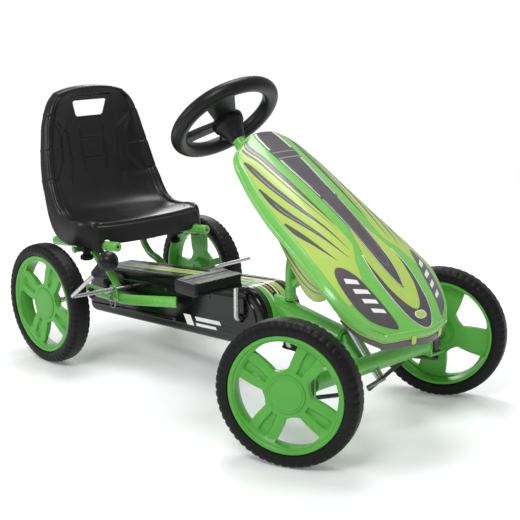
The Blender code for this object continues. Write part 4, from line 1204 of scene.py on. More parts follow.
    def surface(self, u: float, v: float) -> Vector:
        """Gives a point of the bonnet's outer face.

        Args:
            u: Station, 0 at the top and 11 at the nose.
            v: -1 to 1 across.

        Returns:
            The point.
        """
        xc, zc, xe, ye, ze = spline(self.stations, u)
        rise = self.hump * smooth_step((u - 5.0) / 3.0) * (1.0 - 0.5 * smooth_step(u - 9.5))
        return Vector((xc + (xe - xc) * v * v, ye * v, zc + (ze - zc) * abs(v) ** self.crown + rise
            * math.sin(math.pi * min(abs(v), 1.0)) ** 2))

    def lifted(self, u: float, v: float, lift: float) -> Vector:
        """Gives a point a little off the bonnet's face.

        Args:
            u: Station.
            v: Place across.
            lift: How far off the face.

        Returns:
            The point.
        """
        step = 0.02
        along = self.surface(min(u + step, 11.0), v) - self.surface(max(u - step, 0.0), v)
        wide = self.surface(u, v + step) - self.surface(u, v - step)
        normal = along.cross(wide).normalized()
        return self.surface(u, v) + (normal if normal.z > 0 else -normal) * lift

    def _bands(self, bands: Sequence[Band]) -> Form:
        """Models printed bands as thin films on the bonnet.

        Args:
            bands: The bands.

        Returns:
            The mesh.
        """
        form = bmesh.new()
        for band in bands:
            lift = 0.00012 + 0.00016 * band.layer
            for sign in ((1,) if band.middle else (-1, 1)):
                rows = []
                for i in range(band.steps + 1):
                    u, low, high = spline(band.stops, (len(band.stops) - 1) * i / band.steps)
                    low = -high if band.middle else low
                    high = max(high, low + 0.001)
                    rows.append([self.lifted(u, sign * (low + (high - low) * k / band.wide), lift)
                        for k in range(band.wide + 1)])
                form = joined(form, self._film(rows))
        return form

    @staticmethod
    def _film(rows: Sequence[Ring], thickness: float = 0.0001) -> Form:
        """Makes a thin closed film whose face looks up or outwards."""
        return walled(facing(sheet_of(rows), Z_AXIS), thickness)

    def _lamps(self, form: Form) -> Form:
        """Adds the white bars of the headlight panels.

        Args:
            form: The mesh they go in.

        Returns:
            The same mesh.
        """
        for sign in (-1, 1):
            for first, second, third, fourth in self.LAMPS:
                rows = []
                for i in range(5):
                    t = i / 4
                    low = [a + (b - a) * t for a, b in zip(first, fourth)]
                    high = [a + (b - a) * t for a, b in zip(second, third)]
                    rows.append([self.lifted(low[0] + (high[0] - low[0]) * k / 8,
                        sign * (low[1] + (high[1] - low[1]) * k / 8), 0.0009) for k in range(9)])
                joined(form, self._film(rows, 0.0004))
        return form

    def _hang(self, u: float, v: float, first: bool, last: bool, side: bool) -> tuple[Vector, Vector, float]:
        """Gives the directions in which the skirt leaves the face's edge.

        Args:
            u: Station of the edge point.
            v: Its place across.
            first: It lies on the top edge.
            last: It lies on the nose edge.
            side: It lies on a side edge.

        Returns:
            The outward and downward directions and the depth's share.
        """
        out = Vector((0.0, 0.0, 0.0))
        top_share = 1.0 if first else max(0.0, 1.0 - u / 0.8) if side else 0.0
        nose_share = 1.0 if last else max(0.0, 1.0 - (11.0 - u) / 0.8) if side else 0.0
        if side:
            out += Vector((0.0, math.copysign(1.0, v), 0.0))
        out += (Vector((-0.75, 0.0, 0.35)) + Vector((0.0, 0.3 * v, 0.0))) * top_share
        out += Vector((0.9, 0.45 * v, 0.0)) * nose_share
        upright = max(0.0, (u - 8.0) / 3.0)
        down = (self.down * (1 - upright) + Vector((-0.1, 0.0, -1.0)) * upright).normalized()
        slim = smooth_step(u / 1.5) * (1.0 - smooth_step((u - 7.5) / 1.5)) if side else 0.0
        return out.normalized(), down, (1.0 - 0.25 * top_share) * (1.0 - 0.45 * slim)

    def _shell(self) -> Form:
        """Models the bonnet's shell with a raised border and a rolled skirt.

        Returns:
            The mesh.
        """
        us = [11.0 * i / 110 for i in range(111)]
        vs = sorted({round(x / 34.0, 5) for x in range(-34, 35)} | {0.9, -0.9, 0.925, -0.925, 0.945, -0.945, 0.985,
            -0.985})
        grid = []
        for u in us:
            row = []
            for v in vs:
                border = smooth_step((abs(v) - 0.9) / 0.035) * (1.0 - smooth_step((abs(v) - 0.965) / 0.035))
                row.append(self.lifted(u, v, 0.0016 * border))
            grid.append(row)
        end = len(vs) - 1
        form = skirted(grid, self.rings, lambda i, j: self._hang(us[i], vs[j], i == 0, i == len(us) - 1,
            j in (0, end)))
        return walled(facing(form, Z_AXIS), self.wall)

    def _nose_stops(self) -> list[tuple[Vector, Vector, Vector, float]]:
        """Lists the edge points that the nose strip follows, with their directions and share of the way."""
        path = [(9.0 + 2.0 * i / 16, -1.0, False) for i in range(17)]
        path += [(11.0, -1.0 + 2.0 * i / 40, True) for i in range(1, 40)]
        path += [(11.0 - 2.0 * i / 16, 1.0, False) for i in range(17)]
        stops = []
        for k, (u, v, last) in enumerate(path):
            out, down, _ = self._hang(u, v, False, last, not last)
            stops.append((self.surface(u, v), out, down, k / (len(path) - 1)))
        return stops

    def _nose_strip(self, drop: float, full: bool) -> Form:
        """Models the strip under the nose, or the lime line above it.

        Args:
            drop: How far below the skirt it starts.
            full: It is the strip and not the line.

        Returns:
            The mesh.
        """
        rings = []
        for point, out, down, t in self._nose_stops():
            top = self.band_top + drop
            deep = top + 0.002
            if full:
                deep = self.band_top + 0.007 + 0.0085 * math.sin(math.pi * t) ** 0.7
            bulge = 0.003 if full else 0.0036
            section = ((-0.0004, top), (bulge - 0.0006, top), (bulge, top + 0.0008),
                (bulge - 0.0004, deep - 0.0008), (bulge - 0.0012, deep), (-0.0004, deep))
            rings.append([point + out * by + down * depth for by, depth in section])
        return skin(rings)

    def _studs(self) -> Form:
        """Models the two light tabs that hang over the nose strip."""
        form = bmesh.new()
        for sign in (-1, 1):
            u, v = 11.0, 0.42
            out, down, _ = self._hang(u, sign * v, False, True, False)
            top = self.surface(u, sign * v) + out * 0.003 + down * 0.009
            wide = out.cross(down).normalized()
            outline = [(-0.0048, 0.0), (0.0048, 0.0), (0.0048, 0.0125), (0.0034, 0.0152), (0.0, 0.0162),
                (-0.0034, 0.0152), (-0.0048, 0.0125)]
            form = plate(outline, 0.0002, 0.0022, lambda a, b, t: top + wide * a + down * b + out * t, 0.0006, form)
        return form

    @staticmethod
    def _wing_point(sign: int, t: float, s: float, lift: float) -> Vector:
        """Gives a point of a lower wing panel.

        Args:
            sign: -1 on the driver's right.
            t: 0 at the rear, 1 at the front.
            s: 0 along the top edge, 1 along the lower edge.
            lift: How far out of the panel.

        Returns:
            The point.
        """
        x = 0.59 + 0.12 * t
        top = 0.364 - 0.597 * (x - 0.5875)
        drop = 0.072 * math.sin(math.pi * (0.1 + 0.82 * t)) ** 0.8 + 0.002
        y = 0.1165 + lift - 0.018 * s * s + 0.009 * t
        return Vector((x + 0.01 * s, sign * y, top - drop * s))

    def _wing(self, sign: int) -> Form:
        """Models a lower wing panel."""
        rows = [[self._wing_point(sign, i / 40, k / 16, 0.0) for k in range(17)] for i in range(41)]
        return walled(facing(sheet_of(rows), Y_AXIS * sign), 0.0025)

    def _wing_streaks(self, sign: int) -> Form:
        """Models the two dark streaks on a wing panel.

        Args:
            sign: -1 on the driver's right.

        Returns:
            The mesh.
        """
        form = bmesh.new()
        for low, high, wide in ((0.16, 0.52, 0.11), (0.42, 0.74, 0.1)):
            rows = []
            for i in range(31):
                t = i / 30
                middle = low + (high - low) * t ** 1.3
                half = wide * (1.0 - t) ** 0.8 * 0.5 + 0.004
                rows.append([self._wing_point(sign, 0.03 + 0.9 * t, middle + half * (k / 2 - 1), 0.0004)
                    for k in range(5)])
            form = joined(form, walled(facing(sheet_of(rows), Y_AXIS * sign), 0.0002))
        return form


# ---- chain case
@dataclass
class ChainCase:
    """The moulded chain case in two halves, with the printed strips along its top."""

    crank: tuple[float, float] = (0.4375, 0.155)
    nose_r: float = 0.0597
    half: float = 0.057
    wall: float = 0.0025
    brake: tuple[float, float] = (0.083, 0.1495)
    axle_z: float = 0.127
    edge: tuple[tuple[float, float], ...] = ((0.00015, 0.0), (0.02, 0.0), (0.04, 0.0), (0.0435, 0.0005),
        (0.0468, 0.0016), (0.0495, 0.0034), (0.0514, 0.0058), (0.0526, 0.0088), (0.053, 0.0125), (0.0531, 0.0165),
        (0.0534, 0.0176), (0.0542, 0.0186), (0.0556, 0.0194), (0.0566, 0.0202), (0.057, 0.0214), (0.057, 0.024))

    def build(self, shop: Workshop) -> None:
        """Builds the chain case.

        Args:
            shop: Where the pieces are kept.
        """
        for sign, name in ((-1, "right"), (1, "left")):
            cutters = []
            for x, z, radius in ((0.0, self.axle_z, 0.009), (*self.crank, 0.009), (*self.brake, 0.006)):
                cutters.append(bar([(x, sign * 0.04, z), (x, sign * 0.07, z)], radius, 40, 0.0001))
            cutters.append(bar([(0.46, 0.0, 0.1827), (0.53, 0.0, 0.1717)], 0.021, 48, 0.0001))
            shop.keep(f"case_half_{name}", self._half_shell(sign), GLOSS_BLACK, "chassis",
                (f"chain_case_{name}",), cutters)
        shop.keep("case_carbon",
            self._films(((0.0, 1.0, 0.031, 0.0415, 0.031, 0.0415), (0.0, 1.0, -0.0415, -0.031, -0.0415,
            -0.031)), 0.00045), CARBON, "chassis")
        shop.keep("case_lime",
            self._films(((0.05, 1.0, 0.0, 0.014, 0.012, 0.027), (0.05, 0.66, -0.018, -0.005, -0.01, -0.004)),
            0.00035), LIME, "chassis")
        shop.keep("case_green", self._films(((0.3, 1.0, -0.029, -0.02, -0.029, -0.006),), 0.00035),
            BRIGHT_GREEN, "chassis")
        shop.keep("case_white",
            self._films(((0.08, 0.6, -0.004, -0.0015, -0.003, 0.001), (0.55, 1.0, 0.002, 0.0065, -0.0005, 0.004),
            (0.62, 0.86, -0.019, -0.016, -0.016, -0.013)), 0.00055), PRINT_WHITE, "chassis")
        shop.keep("case_orange", self._films(((0.6, 0.72, -0.012, -0.005, -0.008, -0.004),), 0.0006),
            PRINT_ORANGE, "chassis")
        shop.keep("case_badge", self._badge(), PRINT_WHITE, "chassis")
        shop.keep("case_screws", self._screws(), BLACK_STEEL, "chassis")

    def _outline(self) -> list[tuple[float, float]]:
        """Lists the case's side outline, anticlockwise from its rear foot."""
        x, z = self.crank
        points = [(-0.062, 0.0622), (-0.03, 0.0645), (0.1, 0.0733), (0.27, 0.0848)]
        points += [(x + self.nose_r * math.cos(math.radians(a)), z + self.nose_r * math.sin(math.radians(a)))
            for a in range(-94, 97, 5)]
        return points + [(0.36, 0.2082), (0.27, 0.1999), (0.1, 0.1833), (0.02, 0.1755), (-0.045, 0.169),
            (-0.057, 0.1655), (-0.066, 0.16), (-0.073, 0.151), (-0.078, 0.14), (-0.082, 0.125), (-0.084, 0.11),
            (-0.0842, 0.095), (-0.083, 0.08), (-0.0805, 0.0715), (-0.0765, 0.067), (-0.07, 0.0635)]

    @staticmethod
    def _inset(outline: Outline, depth: float) -> list[tuple[float, float]]:
        """Draws an outline in by a depth all round.

        Args:
            outline: The outline, anticlockwise.
            depth: How far in.

        Returns:
            The smaller outline.
        """
        points = [Vector(point) for point in outline]
        moved = []
        for before, here, after in zip(points[-1:] + points[:-1], points, points[1:] + points[:1]):
            first, second = (here - before).normalized(), (after - here).normalized()
            normal = Vector((-first.y, first.x))
            inward = (normal + Vector((-second.y, second.x))).normalized()
            moved.append(here + inward * (depth / max(0.5, inward.dot(normal))))
        return [(point.x, point.y) for point in moved]

    def _half_shell(self, sign: int) -> Form:
        """Models one half with its stepped side.

        Args:
            sign: -1 on the driver's right.

        Returns:
            The mesh.
        """
        outline = self._outline()
        outer = [[Vector((x, -y, z)) for x, z in self._inset(outline, depth)] for y, depth in self.edge]
        inner = [[Vector((x, -min(y, self.half - self.wall), z)) for x,
            z in self._inset(outline, depth + self.wall)] for y, depth in self.edge if depth < 0.013 or y > 0.0569]
        form = skin(list(reversed(inner)) + outer)
        return mirrored(form) if sign > 0 else form

    def _top_path(self) -> list[tuple[Vector, Vector]]:
        """Lists points and outward directions along the case's top and round its nose."""
        x, z = self.crank
        normal = Vector((-0.096, 0.0, 0.9954))
        knots = [(-0.045, 0.169), (0.02, 0.1755), (0.1, 0.1833), (0.27, 0.1999), (0.36, 0.2082),
            (x + self.nose_r * math.cos(math.radians(96)), z + self.nose_r * math.sin(math.radians(96)))]
        path = []
        for (x0, z0), (x1, z1) in zip(knots[:-1], knots[1:]):
            path += [(Vector((x0 + (x1 - x0) * i / 12, 0.0, z0 + (z1 - z0) * i / 12)), normal) for i in range(12)]
        for i in range(41):
            angle = math.radians(95.5 - 140.0 * i / 40)
            out = Vector((math.cos(angle), 0.0, math.sin(angle)))
            path.append((Vector((x, 0.0, z)) + out * self.nose_r, out))
        return path

    def _films(self, bands: Sequence[tuple[float, float, float, float, float, float]], lift: float) -> Form:
        """Models films along the top.

        Args:
            bands: Start and end along the top, then the y limits at the start and at the end.
            lift: How far off the case they lie.

        Returns:
            The mesh.
        """
        path = self._top_path()
        form = bmesh.new()
        for start, end, low0, high0, low1, high1 in bands:
            first, last = int(start * (len(path) - 1)), int(end * (len(path) - 1))
            rows = []
            for i in range(first, last + 1):
                t = (i - first) / max(1, last - first)
                taper = min(1.0, t / 0.12) ** 0.7
                low, high = low0 + (low1 - low0) * t, high0 + (high1 - high0) * t
                middle, half = (low + high) / 2, (high - low) / 2 * max(taper, 0.03)
                point, out = path[i]
                rows.append([point + out * (lift + 0.0002) + Y_AXIS * (middle + half * (k / 3 - 1))
                    for k in range(7)])
            form = joined(form, walled(facing(sheet_of(rows), Z_AXIS), 0.00015))
        return form

    def _badge(self) -> Form:
        """Models plain printed bars on the driver's right side.

        Returns:
            The mesh.
        """
        def place(a: float, b: float, t: float) -> tuple[float, float, float]:
            """Lays the mark on the case's right side, along its slope."""
            return 0.286 + a - 0.1 * b, -self.half - t, 0.118 + b + 0.075 * a

        form = bmesh.new()
        for start, length, height, half in ((-0.014, 0.022, 0.0, 0.0105), (0.016, 0.076, 0.005, 0.004),
                (0.016, 0.062, -0.007, 0.003)):
            outline = [(start, height - half), (start + length, height - half),
                (start + length - half, height + half), (start - half, height + half)]
            form = plate(outline, -0.0002, 0.00025, place, 0.0, form)
        return form

    def _screws(self) -> Form:
        """Models the screws that hold the two halves together.

        Returns:
            The mesh.
        """
        form: Form | None = None
        head = [(0.0, 0.0042), (0.0012, 0.0042), (0.0022, 0.0034), (0.0025, 0.0022), (0.0012, 0.002),
            (0.001, 0.0004)]
        for sign in (-1, 1):
            for x, z in ((0.036, 0.145), (0.205, 0.165), (0.23, 0.108), (0.05, 0.095), (0.34, 0.178)):
                form = turned(head, (x, sign * self.half, z), (0, sign, 0), 24, form=form)
        return form


# ---- painted frame
@dataclass
class Chassis:
    """The welded tube frame with its brackets, welds and bolts."""

    kingpin: tuple[float, float] = (0.7197, 0.181)
    beam_z: float = 0.12
    column_top: Vector = field(default_factory=lambda: Vector((0.331, 0.0, 0.5277)))
    column_down: Vector = field(default_factory=lambda: Vector((0.692, 0.0, -0.722)).normalized())
    rail_y: float = 0.12
    rail_ends: tuple[float, float] = (-0.104, 0.129)
    brake: tuple[float, float] = (0.083, 0.1495)

    def build(self, shop: Workshop) -> None:
        """Builds the frame.

        Args:
            shop: Where the pieces are kept.
        """
        keep = shop.keep
        main = rounded([(0.24, 0, 0.15), (0.395, 0, 0.186), (0.4375, 0, 0.1862), (0.645, 0, 0.1538),
            (0.6575, 0, 0.1519)], 0.03)
        keep("backbone_tube", bar(main, 0.02, 48, 0.004), GREEN_PAINT, "chassis", ("main_tube",))
        beam_cut = bar([self.on_column(0.52), self.on_column(0.6)], 0.0085, 32)
        keep("axle_beam", bar([(0.721, -0.153, self.beam_z), (0.721, 0.153, self.beam_z)], 0.016, 48),
            GREEN_PAINT, "chassis", ("front_beam",), (beam_cut,))
        foot = [(0.66, 0.144), (0.66, 0.16), (0.666, 0.164), (0.6745, 0.148), (0.698, 0.13), (0.703, 0.12),
            (0.703, 0.112), (0.692, 0.112), (0.674, 0.128)]
        keep("beam_foot", plate(foot, -0.012, 0.012, side_place, 0.002), GREEN_PAINT, "chassis", ("beam_post",))
        sleeve = [(0.0, 0.0083), (0.0, 0.0118), (0.0008, 0.0125), (0.2692, 0.0125), (0.27, 0.0118), (0.27, 0.0083)]
        keep("steering_sleeve", turned(sleeve, self.on_column(0.056), self.column_down, 48, closed=True),
            GREEN_PAINT, "chassis", ("head_tube",))
        stay = rounded([(0.515, 0, 0.1965), (0.515, 0, 0.27), (0.528, 0, 0.2962)], 0.03)
        keep("bent_stay", bar(stay, 0.0105, 40), GREEN_PAINT, "chassis", ("column_stay",))
        lug = [(0.526, 0.22), (0.526, 0.2385), (0.55, 0.254), (0.572, 0.256), (0.572, 0.248), (0.548, 0.242)]
        keep("stay_gusset", plate(lug, -0.01, 0.01, side_place, 0.0012), GREEN_PAINT, "chassis", ("stay_lug",))
        for sign, name in ((-1, "right"), (1, "left")):
            self._side(shop, sign, name)
        keep("weld_beads", self._welds(), GREEN_PAINT, "chassis")
        keep("frame_bolts", self._bolts(), STEEL, "chassis")
        # painted shade: dark discs on the rails' front ends where the screw holes' shade would be
        keep("rail_hole_shades", self._rail_hole_shades(), HOLE_SHADE, "chassis")

    def on_column(self, distance: float) -> Vector:
        """Gives the point that far down the steering column's axis."""
        return self.column_top + self.column_down * distance

    def rail_z(self, x: float) -> float:
        """Height of the seat rails' middle."""
        return 0.241 + 0.1 * x

    def _side(self, shop: Workshop, sign: int, name: str) -> None:
        """Builds the tubes on one side.

        Args:
            shop: Where the pieces are kept.
            sign: -1 on the driver's right.
            name: "right" or "left".
        """
        side = rounded([(-0.052, sign * 0.089, 0.128), (0.105, sign * 0.0905, 0.131),
            (0.266, sign * 0.0705, 0.152)], 0.03)
        cutter = bar([(0.0, sign * 0.07, 0.127), (0.0, sign * 0.11, 0.127)], 0.0085, 32)
        form = bar(side, 0.011, 40, 0.002)
        for vert in form.verts:
            if vert.co.x > 0.245:
                vert.co.x += 0.9 * ((vert.co.y - side[-1].y) * sign - 0.01) * smooth_step((vert.co.x - 0.245) / 0.02)
        shop.keep(f"flank_tube_{name}", form, GREEN_PAINT, "chassis", (f"side_tube_{name}",), (cutter,))
        post = rounded([(-0.05, sign * 0.112, 0.218), (-0.042, sign * 0.068, 0.218), (-0.012, sign * 0.068, 0.186),
            (0.022, sign * 0.069, 0.1775), (0.06, sign * 0.0735, 0.1445)], 0.02)
        shop.keep(f"bent_post_{name}", bar(post, 0.008, 32), GREEN_PAINT, "chassis", (f"seat_post_{name}",))
        ends = [(x, sign * self.rail_y, self.rail_z(x)) for x in self.rail_ends]
        middle = [(a + b) / 2 for a, b in zip(*ends)]
        shop.keep(f"slide_rail_{name}", bar([ends[0], middle, ends[1]], 0.01, 40, 0.0018), GREEN_PAINT, "chassis",
            (f"seat_rail_{name}",))
        x, z = self.brake
        outline = [(x + a, z + b) for a, b in ((-0.015, -0.0265), (0.015, -0.0245), (0.015, -0.0035),
            (0.008, 0.0105), (-0.008, 0.0105), (-0.015, -0.0035))]
        low, high = (-0.1055, -0.1019) if sign < 0 else (0.1019, 0.1055)
        bore = bar([(x, sign * 0.095, z), (x, sign * 0.115, z)], 0.0045, 24)
        shop.keep(f"brake_lug_{name}", plate(outline, low, high, side_place, 0.0009), GREEN_PAINT, "chassis",
            (f"brake_bracket_{name}",), (bore,))

    @staticmethod
    def _bead(centre: Sequence[float], axis: Sequence[float], radius: float, form: Form | None,
            thick: float = 0.0017) -> Form:
        """Models a rippled weld bead round a tube.

        Args:
            centre: Middle of the bead.
            axis: The tube's direction.
            radius: The tube's radius.
            form: A mesh to add to, or None.
            thick: The bead's own radius.

        Returns:
            The mesh.
        """
        side, up = across(Vector(axis))
        along = Vector(axis).normalized()
        rings = []
        for k in range(72):
            angle = TAU * k / 72
            out = side * math.cos(angle) + up * math.sin(angle)
            size = thick * (1.0 + 0.22 * math.cos(angle * 18))
            rings.append(circle(Vector(centre) + out * radius, out, along, size, 8))
        return skin(rings, wrap=True, form=form)

    def _welds(self) -> Form:
        """Models the weld beads at the frame's joints.

        Returns:
            The mesh.
        """
        form = self._bead((0.515, 0.0, 0.1985), Z_AXIS, 0.0105, None)
        form = self._bead((0.657, 0.0, 0.152), (0.988, 0, -0.154), 0.0165, form)
        form = self._bead(self.on_column(0.29), self.column_down, 0.0124, form, 0.0013)
        for sign in (-1, 1):
            form = self._bead((0.721, sign * 0.1515, self.beam_z), Y_AXIS, 0.0158, form)
            form = self._bead((-0.0495, sign * 0.1085, 0.218), (0.1, sign, 0.0), 0.0082, form, 0.0014)
            form = self._bead((0.057, sign * 0.0731, 0.147), (0.75, 0, -0.66), 0.008, form, 0.0013)
        return form

    def _bolts(self) -> Form:
        """Models kingpin nuts, bracket bolts, the hairpin clip and its ring.

        Returns:
            The mesh.
        """
        form = bmesh.new()
        x, y = self.kingpin
        hexagon = [(0.0, 0.007), (0.0008, 0.0078), (0.0048, 0.0078), (0.0056, 0.007), (0.0056, 0.0034),
            (0.008, 0.0034), (0.0084, 0.0026)]
        for sign in (-1, 1):
            form = turned([(0.0, 0.0086), (0.0012, 0.0086), (0.0013, 0.004)], (x, sign * y, 0.161), Z_AXIS, 32,
                form=form)
            form = turned(hexagon, (x, sign * y, 0.1622), Z_AXIS, 6, form=form)
            for along, up in ((-0.009, -0.02), (0.0095, -0.0185)):
                head = (self.brake[0] + along, sign * 0.1055, self.brake[1] + up)
                form = turned([(0.0, 0.0046), (0.003, 0.0046), (0.0036, 0.0038)], head, (0, sign, 0), 6, form=form)
        ring = Vector((self.brake[0] + 0.004, -0.1085, 0.1215))
        ring_path = circle(ring, Vector((1, 0, 0)), Z_AXIS, 0.0085, 28)
        form = joined(form, self._wire(ring_path, 0.0011, closed=True))
        pin = rounded([(0.064, -0.1065, 0.1405), (0.098, -0.1085, 0.1365), (0.106, -0.1085, 0.13),
            (0.09, -0.1085, 0.133)], 0.004, 6)
        return joined(form, self._wire(pin, 0.0011))

    @staticmethod
    def _wire(path: Sequence[Vector], radius: float, closed: bool = False) -> Form:
        """Models a bent wire.

        Args:
            path: Its middle line.
            radius: Its radius.
            closed: The path is a ring.

        Returns:
            The mesh.
        """
        if not closed:
            return bar(path, radius, 10, 0.0003)
        rings = []
        for i, point in enumerate(path):
            tangent = (path[(i + 1) % len(path)] - path[i - 1]).normalized()
            side = tangent.cross(Y_AXIS).normalized()
            rings.append(circle(point, side, tangent.cross(side), radius, 10))
        return skin(rings, wrap=True)

    def _rail_hole_shades(self) -> Form:
        """Models flat dark discs on the rails' front ends: painted shade that stands for the shade inside their
        screw holes.

        Returns:
            The mesh.
        """
        form = bmesh.new()
        x = self.rail_ends[1]
        for sign in (-1, 1):
            form = turned([(0.0, 0.003), (0.0004, 0.003), (0.0005, 0.0022)],
                (x, sign * self.rail_y, self.rail_z(x)), (0.995, 0, 0.0995), 24, form=form)
        return form


# ---- drive and brake
@dataclass
class Drive:
    """The bent crank, its two pedals and the rear axle."""

    x: float = 0.4375
    z: float = 0.155
    arm: float = 0.085
    rod_r: float = 0.0055
    arm_y: float = 0.0695
    pedal_in: float = 0.079
    pedal_out: float = 0.196
    half_wide: float = 0.03
    half_thick: float = 0.013
    teeth: int = 17

    def build(self, shop: Workshop) -> None:
        """Builds the drive.

        Args:
            shop: Where the pieces are kept.
        """
        out = self.pedal_out - 0.006
        path = rounded([(self.x, -out, self.z + self.arm), (self.x, -self.arm_y, self.z + self.arm),
            (self.x, -self.arm_y, self.z), (self.x, self.arm_y, self.z), (self.x, self.arm_y, self.z - self.arm),
            (self.x, out, self.z - self.arm)], 0.0085, 8)
        shop.keep("bent_crank", bar(path, self.rod_r, 28), STEEL, "crank", ("crank_rod",))
        for sign, name in ((-1, "right"), (1, "left")):
            height = self.z - sign * self.arm
            bore = bar([(self.x, sign * (self.pedal_in - 0.01), height),
                (self.x, sign * (self.pedal_out - 0.005), height)], self.rod_r + GAP, 28)
            shop.keep(f"pedal_block_{name}", self._pedal(sign, height), MOULDED_BLACK, f"pedal_{name}",
                (f"pedal_{name}",), (bore,))
            shop.keep(f"pedal_end_{name}", self._pedal_end(sign, height), PEDAL_GREY, f"pedal_{name}")
        shop.keep("axle_bar", bar([(0, -0.2194, 0.127), (0, 0.0, 0.127), (0, 0.2194, 0.127)], 0.006, 32),
            STEEL, "rear_axle", ("rear_axle",))

    def _pedal(self, sign: int, height: float) -> Form:
        """Models a pedal with toothed edges and grooved treads.

        Args:
            sign: -1 on the driver's right.
            height: Height of its middle.

        Returns:
            The mesh.
        """
        wide, thick = self.half_wide, self.half_thick
        steps = self.teeth * 8
        rings = []
        for k in range(steps + 1):
            beat = (k % 8) / 8.0
            tooth = 0.5 - 0.5 * math.cos(TAU * beat)
            reach = wide - 0.002 * (1.0 - tooth)
            rib = 0.0007 * (1.0 - smooth_step(abs(beat - 0.5) / 0.3))
            section = [(-reach, -thick + 0.0042), (-reach + 0.0006, -thick + 0.0006), (-wide + 0.006, -thick),
                (-0.011, -thick), (-0.01, -thick + 0.0009 - rib), (0.01, -thick + 0.0009 - rib), (0.011, -thick),
                (wide - 0.006, -thick), (reach - 0.0006, -thick + 0.0006), (reach, -thick + 0.0042),
                (wide - 0.0052, -thick + 0.0056), (wide - 0.0056, thick - 0.0056), (reach, thick - 0.0042),
                (reach - 0.0006, thick - 0.0006), (wide - 0.006, thick), (0.011, thick),
                (0.01, thick - 0.0009 + rib), (-0.01, thick - 0.0009 + rib), (-0.011, thick),
                (-wide + 0.006, thick), (-reach + 0.0006, thick - 0.0006), (-reach, thick - 0.0042),
                (-wide + 0.0056, thick - 0.0056), (-wide + 0.0052, -thick + 0.0056)]
            y = sign * (self.pedal_in + (self.pedal_out - 0.008 - self.pedal_in) * k / steps)
            rings.append([Vector((self.x + a, y, height + b)) for a, b in section])
        return skin(rings)

    def _pedal_end(self, sign: int, height: float) -> Form:
        """Models the plain block at a pedal's outer end.

        Args:
            sign: -1 on the driver's right.
            height: Height of its middle.

        Returns:
            The mesh.
        """
        a, b = self.half_wide - 0.0006, self.half_thick - 0.0006
        outline = [(-a, -b + 0.003), (-a + 0.004, -b), (a - 0.004, -b), (a, -b + 0.003), (a, b - 0.003),
            (a - 0.004, b), (-a + 0.004, b), (-a, b - 0.003)]
        low, high = sorted((sign * (self.pedal_out - 0.0078), sign * self.pedal_out))
        return plate([(self.x + p, height + q) for p, q in outline], low, high, side_place, 0.001)


@dataclass
class Brake:
    """The hand brake: one bent rod across the kart, a grip and a ball."""

    pivot: tuple[float, float] = (0.083, 0.1495)
    rod_r: float = 0.0042
    top: Vector = field(default_factory=lambda: Vector((0.221, -0.234, 0.2415)))
    bend: Vector = field(default_factory=lambda: Vector((0.14, -0.2455, 0.174)))
    ball_r: float = 0.0204

    def build(self, shop: Workshop) -> None:
        """Builds the brake.

        Args:
            shop: Where the pieces are kept.
        """
        x, z = self.pivot
        path = rounded([self.top, self.bend, (0.137, -0.14, 0.169), (x, -0.124, z), (x, 0.124, z),
            (0.137, 0.14, 0.169), (0.142, 0.236, 0.172)], 0.0075, 8)
        shop.keep("brake_bar", bar(path, self.rod_r, 24), STEEL, "brake", ("brake_rod",))
        lever = (self.top - self.bend).normalized()
        low = self.top - lever * 0.016
        profile = [(0.0, self.rod_r + GAP), (0.0, 0.007), (0.001, 0.0084), (0.005, 0.009)]
        for k in range(6):
            start = 0.0075 + 0.0042 * k
            size = 0.0092 + 0.0004 * k
            profile += [(start, size), (start + 0.0008, size - 0.0005), (start + 0.0016, size - 0.0005),
                (start + 0.0024, size + 0.0001)]
        profile += [(0.0345, 0.0114), (0.0396, 0.0114), (0.0396, 0.006), (0.0175, 0.006), (0.0175, self.rod_r + GAP)]
        shop.keep("grip_cone", turned(profile, low, lever, 48, closed=True), MOULDED_BLACK, "brake", ("brake_grip",))
        centre = self.top + lever * 0.035
        arc = [(-self.ball_r * math.cos(math.pi * i / 32), self.ball_r * math.sin(math.pi * i / 32))
            for i in range(1, 32)]
        ball = [(-0.0108, 0.0105), (-0.0107, 0.0165)] + [point for point in arc if point[0] > -0.0104]
        shop.keep("brake_knob", turned(ball, centre, lever, 56), GLOSS_SOFT, "brake", ("brake_ball",))


